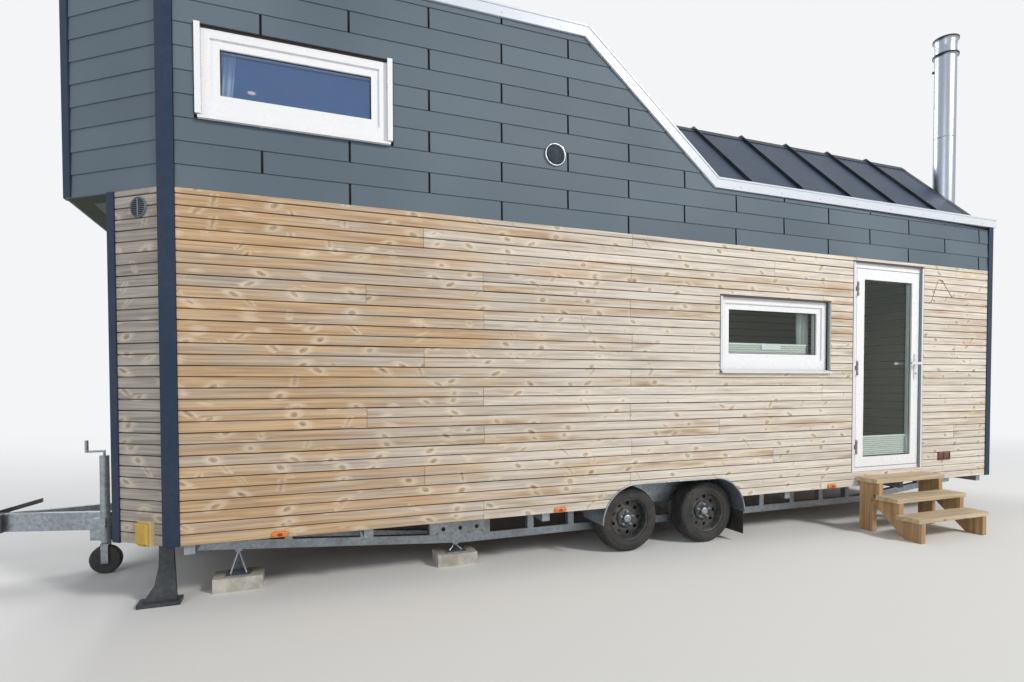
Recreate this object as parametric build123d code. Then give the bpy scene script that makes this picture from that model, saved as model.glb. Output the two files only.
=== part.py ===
from build123d import *
import os
from math import atan2, cos, degrees, hypot, pi, radians, sin

# A tiny house on a two axle trailer, in millimetres.
# X runs from the hitch to the rear, Y from the door side to the far side, and Z is up from the ground.
# While it is built, X is 0 at the near front corner and Y is 0 on the near wall.

# Clearance between faces that seat on each other
SEAT = 0.4

# Shell of the house
WIDTH = 2500.0
WALL_LENGTH = 7440.0
SKIRT_Z = 390.0
WOOD_STOREY = 2112.0
TOP_Z = 4000.0
EAVE_Z = 3035.0
FLAT_END_X = 2756.0
SLOPE_END_X = 3951.0
NOSE_RUN = 615.0
NOSE_SET = 470.0
LOWER_NOSE_RUN = 336.0
WALL = 120.0
FLOOR = 120.0
SOFFIT = 60.0

# White edging of the roof and the angle trims on the corners
FASCIA = 85.0
FASCIA_OUT = 28.0
ROOF_LIP = 6.0
REAR_OVERHANG = 60.0
TRIM = 22.0
TRIM_LEG = 45.0

# Raised roof behind the loft
ROOF_RUN = 750.0
ROOF_RISE = 755.0
ROOF_SLAB = 120.0
REAR_LEDGE = 270.0
END_PANEL = 60.0

# Windows, given by the size of the frame
LOFT_WINDOW_X = 190.0
LOFT_WINDOW_Z = 2945.0
LOFT_WINDOW_W = 1088.0
LOFT_WINDOW_H = 513.0
LOFT_WINDOW_RECESS = 4.0
LOW_WINDOW_X = 4010.0
LOW_WINDOW_Z = 1466.0
LOW_WINDOW_W = 1184.0
LOW_WINDOW_H = 607.0
LOW_WINDOW_RECESS = 16.0
FRAME_BAR = 50.0
SASH_BAR = 50.0
SUB_SILL = 36.0
FRAME_DEPTH = 70.0
SASH_STEP = 14.0
GLASS = 24.0
SIDE_BOARD = 32.0
SIDE_BOARD_OUT = 26.0
SIDE_BOARD_RISE = 18.0
SILL_OUT = 40.0
SILL_H = 30.0

# Flat metal linings round the low windows and the doorway
LINING = 22.0
LINING_OUT = 16.0
LINING_HEAD = 10.0

# Door, hung on its left side and opening outwards
DOOR_X = 5518.0
DOOR_Z = 522.0
DOOR_W = 894.0
DOOR_H = 1940.0
DOOR_RECESS = 10.0
JAMB = 45.0
JAMB_DEPTH = 82.0
THRESHOLD = 36.0
DOOR_GAP = 6.0
LATCH_GAP = 9.0
LEAF = 60.0
STILE = 96.0
BOTTOM_RAIL = 112.0
HINGE_R = 11.0
HINGE_OUT = 12.0
KNUCKLE = 42.0
KNUCKLE_GAP = 0.5

# Fittings on the walls
VENT_R = 85.0
VENT_X = 2485.0
VENT_Z = 3018.0
VENT_RIM = 12.0
VENT_OUT = 26.0
VENT_SIDES = 24
NOSE_VENT_R = 62.0
GRILLE_X = 6757.0
GRILLE_Z = 622.0
GRILLE_W = 180.0
GRILLE_H = 86.0
LAMP_W = 105.0
LAMP_H = 44.0
LAMP_OUT = 32.0
LAMP_XS = (595.0, 2524.0, 5245.0)
FLUE_R = 100.0
FLUE_Y = 375.0
FLUE_TOP_Z = 5050.0
FLUE_WALL = 25.0
COLLAR = 25.0
RING_OUT = 18.0
FLUE_SIDES = 28

# Trailer
BEAM_Y = 345.0
BEAM = 50.0
TOP_CHORD = 60.0
LOW_CHORD = 60.0
BELLY_Z = 150.0
BELLY_FRONT_X = 1850.0
BELLY_REAR_X = 6000.0
CHORD_TIP_Z = 275.0
PLATE = 8.0
PLATE_SPAN = (1640.0, 2060.0)
PLATE_HOLE_XS = (1720.0, 1850.0, 1980.0)
PLATE_HOLE_Z = 262.0
PLATE_HOLE_R = 16.0
MEMBER = 60.0
MEMBER_END = 90.0
OUTRIGGER_Y = 20.0
PIVOT_R = 25.0
TYRE_R = 262.0
TYRE_W = 185.0
RIM_R = 165.0
WHEEL_SIDES = 32
HUB_SEAT_R = 80.0
RIM_SHEET = 10.0
DISC_DEPTH = 105.0
RIM_HOLES = 8
RIM_HOLE_RING = 122.0
RIM_HOLE_R = 16.0
WHEEL_FACE_Y = 80.0
FRONT_AXLE_X = 3188.0
AXLE_PITCH = 760.0
DRUM_R = 100.0
GUARD_GAP = 42.0
GUARD_SHEET = 6.0
DRAWBAR_H = 128.0
DRAWBAR_Z = 300.0
DRAWBAR_TIP_X = -1260.0
DRAWBAR_END_X = -380.0
ARM_H = 78.0
ARM_START_X = -700.0
JOCKEY_X = -590.0
JOCKEY_R = 30.0
JOCKEY_TOP_Z = 845.0
JOCKEY_WHEEL_R = 100.0
JOCKEY_WHEEL_W = 60.0
JOCKEY_GAP = 6.0
FORK_PLATE = 10.0
STEM_R = 19.0
STEM_H = 130.0
JOCKEY_PIN_R = 8.0
BALL_R = 25.3
BELLOWS_R = 54.0
FOLDS = 7
FOLD = 12.0
FOLD_PITCH = 26.0
SHAFT_R = 30.0

# Props under the trailer and the steps at the door
STAND_XS = (330.0, 1812.0)
STAND_BLOCK = (300.0, 200.0, 90.0)
STEP_X = 5550.0
STEP_W = 895.0
TREAD = 36.0
TREAD_TOPS = (484.0, 340.0, 205.0)
TREAD_FRONTS = (225.0, 412.0, 600.0)
TREAD_BACKS = (SEAT, 212.0, 400.0)
STEP_INSET = 28.0
STEP_POST = 50.0
STEP_POST_DEPTH = 60.0
REAR_BOARD_BACK = 34.0
REAR_BOARD_FRONT = 165.0
STRINGER = 28.0
STRINGER_FOOT = 455.0
STRINGER_HEEL_Z = 255.0

SLATE_Z = SKIRT_Z + WOOD_STOREY
ROOF_END_X = WALL_LENGTH - REAR_LEDGE
HIGH_WALL_Z = TOP_Z - FASCIA
LOW_WALL_Z = EAVE_Z - FASCIA
FLOOR_Z = SKIRT_Z + FLOOR
LOWER_NOSE_SET = LOWER_NOSE_RUN * NOSE_SET / NOSE_RUN
REACH = 2 * WALL_LENGTH

# Posts of the side beams and the members across the trailer, some of them placed from the axles
POST_XS = (640.0, 1140.0, *PLATE_SPAN, FRONT_AXLE_X - 763.0, FRONT_AXLE_X - 408.0, FRONT_AXLE_X + 252.0,
           FRONT_AXLE_X + AXLE_PITCH + 292.0, FRONT_AXLE_X + AXLE_PITCH + 812.0, 5130.0, 5500.0, 5850.0, 6200.0,
           6550.0, 6900.0)
MEMBER_XS = (MEMBER_END, POST_XS[1], POST_XS[4], POST_XS[8], POST_XS[12], WALL_LENGTH - MEMBER_END)


def block(x0, x1, y0, y1, z0, z1):
    """A plain block between six limits."""
    centre = Pos((x0 + x1) / 2, (y0 + y1) / 2, (z0 + z1) / 2)
    return centre * Box(x1 - x0, y1 - y0, z1 - z0)


def plan_prism(points, z0, z1):
    """An outline drawn from above, raised from z0 to z1."""
    return Pos(0, 0, z0) * extrude(Polygon(*points, align=None), z1 - z0, dir=(0, 0, 1))


def side_prism(points, y0, y1):
    """An outline drawn from the near side, carried from y0 to y1."""
    return Pos(0, y0, 0) * extrude(Plane.XZ * Polygon(*points, align=None), y1 - y0, dir=(0, 1, 0))


def end_prism(points, x0, x1):
    """An outline drawn from the end, carried from x0 to x1."""
    return Pos(x0, 0, 0) * extrude(Plane.YZ * Polygon(*points, align=None), x1 - x0, dir=(1, 0, 0))


def left_normal(start, end):
    length = hypot(end[0] - start[0], end[1] - start[1])
    return (start[1] - end[1]) / length, (end[0] - start[0]) / length


def shifted(points, distance, closed=False):
    """The same outline moved to its left by a distance, with mitred corners."""
    moved = []
    last = len(points) - 1
    for index, point in enumerate(points):
        normals = []
        if closed or index > 0:
            normals.append(left_normal(points[index - 1], point))
        if closed or index < last:
            normals.append(left_normal(point, points[(index + 1) % len(points)]))
        first, second = normals[0], normals[-1]
        scale = distance / (1 + first[0] * second[0] + first[1] * second[1])
        moved.append((point[0] + scale * (first[0] + second[0]), point[1] + scale * (first[1] + second[1])))
    return moved


def bar(start, end, width, height):
    """A level or sloping bar whose section is width across and height up, centred on its line."""
    run = hypot(end[0] - start[0], end[1] - start[1])
    turn = degrees(atan2(end[1] - start[1], end[0] - start[0]))
    drop = end[2] - start[2]
    outline = [(0, -height / 2), (run, drop - height / 2), (run, drop + height / 2), (0, height / 2)]
    return Pos(*start) * Rot(0, 0, turn) * side_prism(outline, -width / 2, width / 2)


def rod(start, end, radius, sides=12):
    """A bar between two points, with enough flats to look round."""
    axis = Vector(*end) - Vector(*start)
    plane = Plane(origin=start, z_dir=axis)
    return extrude(plane * RegularPolygon(radius, sides), axis.length)


def pin(start, end, radius):
    """A truly round bar, for a piece that turns in or on another."""
    axis = Vector(*end) - Vector(*start)
    plane = Plane(origin=start, z_dir=axis)
    return extrude(plane * Circle(radius), axis.length)


def ring_stack(outline, sides):
    """A body of flat facets round the Z axis, given by its (height, radius) steps."""
    turns = [2 * pi * index / sides for index in range(sides)]
    rings = [[Vector(radius * cos(turn), radius * sin(turn), height) for turn in turns] for height, radius in outline]
    faces = [Face(Wire.make_polygon(ring)) for ring in (rings[0], rings[-1])]
    for low, high in zip(rings, rings[1:]):
        for index in range(sides):
            after = (index + 1) % sides
            faces.append(Face(Wire.make_polygon([low[index], low[after], high[after], high[index]])))
    return Solid(Shell(faces))


def prism(radius, sides, z0, z1):
    """A straight many sided bar up the Z axis, with its corners in line with a ring stack's."""
    return ring_stack([(z0, radius), (z1, radius)], sides)


def mirrored(shape):
    """The same piece on the far side of the house."""
    return mirror(shape, about=Plane.XZ.offset(-WIDTH / 2))


def both_sides(shape):
    return Compound(children=[shape, mirrored(shape)])


# Outlines seen from above, with the inside on the left of the way they run

def plan_outline(run, inset):
    return [
        (-run, inset),
        (0.0, 0.0),
        (WALL_LENGTH, 0.0),
        (WALL_LENGTH, WIDTH),
        (0.0, WIDTH),
        (-run, WIDTH - inset),
    ]


LOWER_PLAN = plan_outline(LOWER_NOSE_RUN, LOWER_NOSE_SET)
UPPER_PLAN = plan_outline(NOSE_RUN, NOSE_SET)
NEAR_NOSE, NEAR_SIDE, REAR_END, FAR_SIDE, FAR_NOSE, FRONT_END = range(6)


def wall_strip(outline, side, thickness):
    """The mitred four sided plan of one wall of an outline."""
    inner = shifted(outline, thickness, closed=True)
    after = (side + 1) % len(outline)
    return [outline[side], outline[after], inner[after], inner[side]]


def wall_panel(outline, side, z0, z1):
    return plan_prism(wall_strip(outline, side, WALL), z0, z1)


# The line of the roof seen from the side, and what lies under it

def roof_line(depth):
    line = [
        (-NOSE_RUN, TOP_Z),
        (FLAT_END_X, TOP_Z),
        (SLOPE_END_X, EAVE_Z),
        (WALL_LENGTH, EAVE_Z),
    ]
    return shifted(line, -depth)


def under_roof():
    """All the room under the roof sheets, across the whole width."""
    line = roof_line(FASCIA)
    foot = [(WALL_LENGTH, 0.0), (-NOSE_RUN, 0.0)]
    return side_prism(line + foot, -WIDTH, 2 * WIDTH)


# Wheel wells and mudguards

WHEEL_XS = (FRONT_AXLE_X, FRONT_AXLE_X + AXLE_PITCH)
GUARD_R = TYRE_R + GUARD_GAP


def arch(radius, y0, y1):
    """The rounded space over the pair of wheels, down to the ground."""
    space = block(WHEEL_XS[0] - radius, WHEEL_XS[1] + radius, y0, y1, 0, TYRE_R + radius)
    shoulders = space.edges().filter_by(Axis.Y).group_by(Axis.Z)[-1]
    return fillet(shoulders, radius)


WELL_DEPTH = WHEEL_FACE_Y + TYRE_W + 35.0


def near_well():
    return arch(GUARD_R + SEAT, -WALL, WELL_DEPTH + GUARD_SHEET + SEAT)


def make_floor():
    inside = shifted(LOWER_PLAN, WALL, closed=True)
    slab = plan_prism(inside, SKIRT_Z, FLOOR_Z)
    return slab - near_well() - mirrored(near_well())


def low_window_hole():
    return block(LOW_WINDOW_X, LOW_WINDOW_X + LOW_WINDOW_W, -WALL, 2 * WALL,
                 LOW_WINDOW_Z, LOW_WINDOW_Z + LOW_WINDOW_H)


def loft_window_hole():
    return block(LOFT_WINDOW_X, LOFT_WINDOW_X + LOFT_WINDOW_W, -WALL, 2 * WALL,
                 LOFT_WINDOW_Z, LOFT_WINDOW_Z + LOFT_WINDOW_H)


def door_bay(x0, x1, z0, z1):
    """The stretch of the near wall between four limits, for the pieces round the doorway."""
    return block(x0, x1, -WALL, 2 * WALL, z0, z1)


def make_lower_walls():
    near = wall_panel(LOWER_PLAN, NEAR_SIDE, SKIRT_Z, SLATE_Z)
    far = wall_panel(LOWER_PLAN, FAR_SIDE, SKIRT_Z, SLATE_Z)
    door_right = DOOR_X + DOOR_W
    front = near & door_bay(-WALL, DOOR_X, 0, TOP_Z)
    front = front - low_window_hole() - near_well()
    rear = near & door_bay(door_right, REACH, 0, TOP_Z)
    sill = near & door_bay(DOOR_X, door_right, 0, DOOR_Z)
    head = near & door_bay(DOOR_X, door_right, DOOR_Z + DOOR_H, TOP_Z)
    nose = wall_panel(LOWER_PLAN, NEAR_NOSE, SKIRT_Z, SLATE_Z)
    nose += wall_panel(LOWER_PLAN, FRONT_END, SKIRT_Z, SLATE_Z)
    nose += wall_panel(LOWER_PLAN, FAR_NOSE, SKIRT_Z, SLATE_Z)
    far = far - mirrored(low_window_hole()) - mirrored(near_well())
    return {
        "near_wall_front": front,
        "near_wall_rear": rear,
        "door_wall_infill": Compound(children=[sill, head]),
        "far_wall_lower": far,
        "nose_wall_lower": nose,
        "rear_wall": wall_panel(LOWER_PLAN, REAR_END, SKIRT_Z, LOW_WALL_Z),
    }


def vent_bore():
    return rod((VENT_X, -WALL, VENT_Z), (VENT_X, 2 * WALL, VENT_Z), VENT_R - VENT_RIM, VENT_SIDES)


def make_upper_walls():
    near = wall_panel(UPPER_PLAN, NEAR_SIDE, SLATE_Z, TOP_Z) & under_roof()
    near = near - loft_window_hole() - vent_bore()
    far = wall_panel(UPPER_PLAN, FAR_SIDE, SLATE_Z, TOP_Z) & under_roof()
    far = far - mirrored(loft_window_hole())
    nose = wall_panel(UPPER_PLAN, NEAR_NOSE, SLATE_Z, HIGH_WALL_Z)
    nose += wall_panel(UPPER_PLAN, FRONT_END, SLATE_Z, HIGH_WALL_Z)
    nose += wall_panel(UPPER_PLAN, FAR_NOSE, SLATE_Z, HIGH_WALL_Z)
    inside = shifted(UPPER_PLAN, WALL, closed=True)
    soffit = plan_prism(inside, SLATE_Z, SLATE_Z + SOFFIT)
    soffit &= block(-NOSE_RUN, WALL - LOWER_NOSE_RUN, 0, WIDTH, SLATE_Z, SLATE_Z + SOFFIT)
    return {"near_wall_upper": near, "far_wall_upper": far, "nose_wall_upper": nose, "nose_soffit": soffit}


# Roof

def raised_line(depth):
    """Half section of the raised roof seen from the rear, moved in by a depth."""
    line = [
        (0.0, EAVE_Z),
        (ROOF_RUN, EAVE_Z + ROOF_RISE),
        (WIDTH - ROOF_RUN, EAVE_Z + ROOF_RISE),
        (WIDTH, EAVE_Z),
    ]
    return shifted(line, -depth)


def point_at_height(start, end, z):
    share = (z - start[1]) / (end[1] - start[1])
    return start[0] + share * (end[0] - start[0]), z


def make_roof():
    outer = roof_line(ROOF_LIP)
    inner = roof_line(FASCIA)
    whole = plan_prism(UPPER_PLAN, 0, TOP_Z)
    flat = side_prism([outer[0], outer[1], inner[1], inner[0]], 0, WIDTH) & whole
    slope_foot = [(SLOPE_END_X, outer[2][1]), (SLOPE_END_X, inner[2][1])]
    slope = side_prism([outer[1]] + slope_foot + [inner[2], inner[1]], 0, WIDTH)

    top = raised_line(0.0)
    ceiling = raised_line(ROOF_SLAB)
    seat = point_at_height(ceiling[0], ceiling[1], LOW_WALL_Z)
    near_section = [(0.0, LOW_WALL_Z), top[0], top[1], ceiling[1], seat]
    top_section = [top[1], top[2], ceiling[2], ceiling[1]]
    far_seat = (WIDTH - seat[0], seat[1])
    room_section = [seat, ceiling[1], ceiling[2], far_seat]
    room = end_prism(room_section, FLAT_END_X, SLOPE_END_X + WALL)
    loft = side_prism(
        [(0.0, 0.0), (0.0, TOP_Z), outer[1], (SLOPE_END_X, outer[2][1]), (SLOPE_END_X, 0.0)], -WALL, WIDTH + WALL)
    near = end_prism(near_section, FLAT_END_X, ROOF_END_X) - loft
    middle = end_prism(top_section, FLAT_END_X, ROOF_END_X) - loft
    end_panel = end_prism(room_section, ROOF_END_X - END_PANEL, ROOF_END_X)
    ledge = block(ROOF_END_X, WALL_LENGTH + REAR_OVERHANG - FASCIA_OUT, 0, WIDTH, LOW_WALL_Z, EAVE_Z - ROOF_LIP)
    ledge -= flue_bore()
    return {
        "loft_roof_flat": flat,
        "loft_roof_slope": slope - room,
        "rear_roof_slopes": both_sides(near),
        "rear_roof_top": middle,
        "roof_end_panel": end_panel,
        "rear_ledge_roof": ledge,
    }


def make_fascias():
    outer = roof_line(0.0)
    inner = roof_line(FASCIA)
    rear_x = WALL_LENGTH + REAR_OVERHANG
    band = [outer[0], outer[1], outer[2], (rear_x, EAVE_Z), (rear_x, LOW_WALL_Z), inner[2], inner[1], inner[0]]
    rim = shifted(UPPER_PLAN, -FASCIA_OUT, closed=True)
    near_strip = [UPPER_PLAN[1], rim[1], (rear_x, -FASCIA_OUT), (rear_x, 0.0)]
    near = side_prism(band, -FASCIA_OUT, 0) & plan_prism(near_strip, 0, TOP_Z)
    nose = None
    for side in (NEAR_NOSE, FAR_NOSE, FRONT_END):
        after = (side + 1) % len(UPPER_PLAN)
        strip = plan_prism([UPPER_PLAN[side], UPPER_PLAN[after], rim[after], rim[side]], HIGH_WALL_Z, TOP_Z)
        nose = strip if nose is None else nose + strip
    rear = block(rear_x - FASCIA_OUT, rear_x, 0, WIDTH, LOW_WALL_Z, EAVE_Z)
    return {
        "side_fascias": both_sides(near),
        "end_fascias": Compound(children=[nose, rear]),
    }


def angle_trim(outline, corner, z0, z1):
    """An L shaped trim that wraps one corner of an outline."""
    rim = shifted(outline, -TRIM, closed=True)
    point = Vector(*outline[corner])
    before = (Vector(*outline[corner - 1]) - point).normalized() * TRIM_LEG
    after = (Vector(*outline[(corner + 1) % len(outline)]) - point).normalized() * TRIM_LEG
    out_before = Vector(*left_normal(outline[corner - 1], outline[corner])) * -TRIM
    out_after = Vector(*left_normal(outline[corner], outline[(corner + 1) % len(outline)])) * -TRIM
    corners = [point + before, point + before + out_before, Vector(*rim[corner]),
               point + after + out_after, point + after, point]
    return plan_prism([(c.X, c.Y) for c in corners], z0, z1)


def make_corner_trims():
    trims = [
        angle_trim(LOWER_PLAN, 1, SKIRT_Z, HIGH_WALL_Z),
        angle_trim(LOWER_PLAN, 0, SKIRT_Z, SLATE_Z),
        angle_trim(UPPER_PLAN, 0, SLATE_Z, HIGH_WALL_Z),
        angle_trim(LOWER_PLAN, 2, SKIRT_Z, LOW_WALL_Z),
    ]
    return {"corner_trims": Compound(children=trims + [mirrored(trim) for trim in trims])}


# Windows

def picture_frame(x0, x1, z0, z1, bar_width, y0, y1):
    outer = block(x0, x1, y0, y1, z0, z1)
    inner = block(x0 + bar_width, x1 - bar_width, y0, y1, z0 + bar_width, z1 - bar_width)
    return outer - inner


def make_window(x, z, width, height, recess):
    """A fixed frame on its sub sill, with its stepped sash, and the pane in it."""
    right, top, foot = x + width, z + height, z + SUB_SILL
    back = recess + FRAME_DEPTH
    frame = picture_frame(x, right, foot, top, FRAME_BAR, recess, back)
    frame += block(x, right, recess, back, z, foot)
    frame += picture_frame(x + FRAME_BAR, right - FRAME_BAR, foot + FRAME_BAR, top - FRAME_BAR, SASH_BAR,
                           recess + SASH_STEP, back)
    reach = FRAME_BAR + SASH_BAR
    pane_y = recess + SASH_STEP + (FRAME_DEPTH - SASH_STEP - GLASS) / 2
    pane = block(x + reach, right - reach, pane_y, pane_y + GLASS, foot + reach, top - reach)
    return frame, pane


def window_sill(x, right, z):
    """A sloping sheet under a window, on the face of the wall."""
    outline = [(0.0, z - SILL_H), (-SILL_OUT, z - SILL_H), (-SILL_OUT, z - SILL_H / 2), (0.0, z)]
    return end_prism(outline, x, right)


def lining(x, right, z, top):
    """A flat metal trim up both sides of an opening and over it."""
    outer = block(x - LINING, right + LINING, -LINING_OUT, 0, z, top + LINING_HEAD)
    return outer - block(x, right, -LINING_OUT, 0, z, top)


def make_windows():
    loft_frame, loft_pane = make_window(
        LOFT_WINDOW_X, LOFT_WINDOW_Z, LOFT_WINDOW_W, LOFT_WINDOW_H, LOFT_WINDOW_RECESS)
    low_frame, low_pane = make_window(LOW_WINDOW_X, LOW_WINDOW_Z, LOW_WINDOW_W, LOW_WINDOW_H, LOW_WINDOW_RECESS)
    loft_right, loft_top = LOFT_WINDOW_X + LOFT_WINDOW_W, LOFT_WINDOW_Z + LOFT_WINDOW_H
    low_right, low_top = LOW_WINDOW_X + LOW_WINDOW_W, LOW_WINDOW_Z + LOW_WINDOW_H
    boards = [block(x, x + SIDE_BOARD, -SIDE_BOARD_OUT, 0, LOFT_WINDOW_Z, loft_top + SIDE_BOARD_RISE)
              for x in (LOFT_WINDOW_X - SIDE_BOARD, loft_right)]
    sill = window_sill(LOFT_WINDOW_X - SIDE_BOARD / 2, loft_right + SIDE_BOARD / 2, LOFT_WINDOW_Z)
    loft_trims = boards + [sill]
    low_trims = [
        lining(LOW_WINDOW_X, low_right, LOW_WINDOW_Z, low_top),
        window_sill(LOW_WINDOW_X - LINING, low_right + LINING, LOW_WINDOW_Z),
    ]
    door_trim = lining(DOOR_X, DOOR_X + DOOR_W, DOOR_Z, DOOR_Z + DOOR_H)
    return {
        "loft_window_frame": loft_frame,
        "loft_window_glass": loft_pane,
        "loft_window_trims": Compound(children=loft_trims + [mirrored(trim) for trim in loft_trims]),
        "low_window_frame": low_frame,
        "low_window_glass": low_pane,
        "far_window_frames": Compound(children=[mirrored(loft_frame), mirrored(low_frame)]),
        "far_window_glass": Compound(children=[mirrored(loft_pane), mirrored(low_pane)]),
        "metal_linings": Compound(children=low_trims + [mirrored(trim) for trim in low_trims] + [door_trim]),
    }


# Door

LEAF_X = DOOR_X + JAMB + DOOR_GAP
LEAF_W = DOOR_W - JAMB - DOOR_GAP - LATCH_GAP
LEAF_Z = DOOR_Z + THRESHOLD + DOOR_GAP
LEAF_TOP = DOOR_Z + DOOR_H - JAMB - DOOR_GAP
LEAF_FACE_Y = DOOR_RECESS
HINGE_X = DOOR_X + JAMB
HINGE_Y = LEAF_FACE_Y - HINGE_OUT
HINGE_ZS = (LEAF_Z + 190.0, (LEAF_Z + LEAF_TOP) / 2, LEAF_TOP - 190.0)


def make_door_frame():
    """The hinge post, head and threshold, with a stop behind the leaf on all four sides."""
    right, top = DOOR_X + DOOR_W, DOOR_Z + DOOR_H
    back = DOOR_RECESS + JAMB_DEPTH
    frame = block(DOOR_X, right, DOOR_RECESS, back, DOOR_Z, top)
    frame -= block(DOOR_X + JAMB, right, DOOR_RECESS, back, DOOR_Z + THRESHOLD, top - JAMB)
    stop_y = LEAF_FACE_Y + LEAF + DOOR_GAP
    frame += picture_frame(DOOR_X + JAMB, right, DOOR_Z + THRESHOLD, top - JAMB, 4 * DOOR_GAP, stop_y, back)
    for z in HINGE_ZS:
        for side in (-1, 1):
            middle = z + side * (KNUCKLE + KNUCKLE_GAP)
            foot = middle - KNUCKLE / 2
            knuckle = rod((HINGE_X, HINGE_Y, foot), (HINGE_X, HINGE_Y, foot + KNUCKLE), HINGE_R)
            plate = block(HINGE_X - 3 * HINGE_R, HINGE_X, HINGE_Y, DOOR_RECESS,
                          middle - KNUCKLE / 2, middle + KNUCKLE / 2)
            frame += [knuckle, plate]
    return frame


def make_door_leaf():
    right = LEAF_X + LEAF_W
    leaf = block(LEAF_X, right, LEAF_FACE_Y, LEAF_FACE_Y + LEAF, LEAF_Z, LEAF_TOP)
    light = block(LEAF_X + STILE, right - STILE, LEAF_FACE_Y, LEAF_FACE_Y + LEAF,
                  LEAF_Z + BOTTOM_RAIL - 20, LEAF_TOP - STILE)
    leaf -= light
    for z in HINGE_ZS:
        knuckle = Pos(HINGE_X, HINGE_Y, z) * Cylinder(HINGE_R, KNUCKLE)
        plate = block(HINGE_X, HINGE_X + 3 * HINGE_R, HINGE_Y, LEAF_FACE_Y, z - KNUCKLE / 2, z + KNUCKLE / 2)
        leaf += [knuckle, plate]
    return leaf


def make_door():
    right = LEAF_X + LEAF_W
    low, high = LEAF_Z + BOTTOM_RAIL - 20, LEAF_TOP - STILE
    pane_y = LEAF_FACE_Y + (LEAF - GLASS) / 2
    pane = block(LEAF_X + STILE, right - STILE, pane_y, pane_y + GLASS, low, high)
    blind = block(LEAF_X + STILE + 4, right - STILE - 4, pane_y + GLASS, LEAF_FACE_Y + LEAF, low + 6, low + 190)
    plate_x = right - STILE / 2
    handle_z = 1540.0
    plate_face = LEAF_FACE_Y - 10
    plate = block(plate_x - 18, plate_x + 18, plate_face, LEAF_FACE_Y, handle_z - 150, handle_z + 90)
    neck = rod((plate_x, plate_face, handle_z), (plate_x, plate_face - 45, handle_z), 10)
    lever = block(plate_x - 130, plate_x + 12, plate_face - 55, plate_face - 35, handle_z - 11, handle_z + 11)
    outside = plate + neck + lever
    inside = mirror(outside, about=Plane.XZ.offset(-(LEAF_FACE_Y + LEAF / 2)))
    return {
        "door_frame": make_door_frame(),
        "door_leaf": make_door_leaf(),
        "door_glass": pane,
        "door_blind": blind,
        "door_handle": Compound(children=[outside, inside]),
    }


# Fittings on the walls

def make_vents():
    ring = Pos(VENT_X, 0, VENT_Z) * Rot(90, 0, 0)
    flange = extrude(RegularPolygon(VENT_R, VENT_SIDES), VENT_OUT)
    flange -= Pos(0, 0, VENT_OUT / 2) * extrude(RegularPolygon(VENT_R - VENT_RIM, VENT_SIDES), VENT_OUT)
    turn = degrees(atan2(NOSE_SET, -NOSE_RUN))
    along = LOWER_NOSE_RUN * 0.52
    place = Pos(-along, along * NOSE_SET / NOSE_RUN, SLATE_Z - 165) * Rot(0, 0, turn + 180) * Rot(90, 0, 0)
    louvre = place * extrude(RegularPolygon(NOSE_VENT_R, VENT_SIDES), VENT_OUT)
    grille = block(GRILLE_X - GRILLE_W / 2, GRILLE_X + GRILLE_W / 2, -VENT_OUT, 0,
                   GRILLE_Z - GRILLE_H / 2, GRILLE_Z + GRILLE_H / 2)
    return {"wall_vents": Compound(children=[ring * flange, louvre, grille])}


FLUE_X = (ROOF_END_X + WALL_LENGTH) / 2


def flue_bore():
    return Pos(FLUE_X, FLUE_Y, 0) * prism(FLUE_R + SEAT, FLUE_SIDES, EAVE_Z - 2 * FASCIA, EAVE_Z + 2 * FASCIA)


def make_flue():
    collar_z = EAVE_Z - ROOF_LIP
    outline = [
        (LOW_WALL_Z, FLUE_R),
        (collar_z, FLUE_R),
        (collar_z + 0.5, FLUE_R + COLLAR),
        (collar_z + 60, FLUE_R),
        (FLUE_TOP_Z - 235, FLUE_R),
        (FLUE_TOP_Z - 234, FLUE_R + RING_OUT),
        (FLUE_TOP_Z - 131, FLUE_R + RING_OUT),
        (FLUE_TOP_Z - 130, FLUE_R),
        (FLUE_TOP_Z - 105, FLUE_R),
        (FLUE_TOP_Z - 104, FLUE_R + RING_OUT),
        (FLUE_TOP_Z, FLUE_R + RING_OUT),
    ]
    pipe = ring_stack(outline, FLUE_SIDES)
    pipe -= prism(FLUE_R - FLUE_WALL, FLUE_SIDES, LOW_WALL_Z, FLUE_TOP_Z)
    return {"flue": Pos(FLUE_X, FLUE_Y, 0) * pipe}


def make_small_fittings():
    turn = degrees(atan2(NOSE_SET, -NOSE_RUN)) + 180
    along = 130.0
    place = Pos(-along, along * NOSE_SET / NOSE_RUN, SKIRT_Z + 75) * Rot(0, 0, turn)
    socket = place * block(-52, 52, -68, 0, -75, 75)
    lamps = []
    for x in LAMP_XS:
        lamp = block(x - LAMP_W / 2, x + LAMP_W / 2, -LAMP_OUT, 0, SKIRT_Z + 2, SKIRT_Z + 2 + LAMP_H)
        lamps += [lamp, mirrored(lamp)]
    return {"socket_box": socket, "marker_lamps": Compound(children=lamps)}


# Trailer

def belly_height(x):
    """Underside of the lower chord at a place along the beam."""
    front_x, rear_x = 60.0, WALL_LENGTH - 60.0
    if x < BELLY_FRONT_X:
        share = (BELLY_FRONT_X - x) / (BELLY_FRONT_X - front_x)
    elif x > BELLY_REAR_X:
        share = (x - BELLY_REAR_X) / (rear_x - BELLY_REAR_X)
    else:
        share = 0.0
    return BELLY_Z + share * (CHORD_TIP_Z - BELLY_Z)


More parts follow.
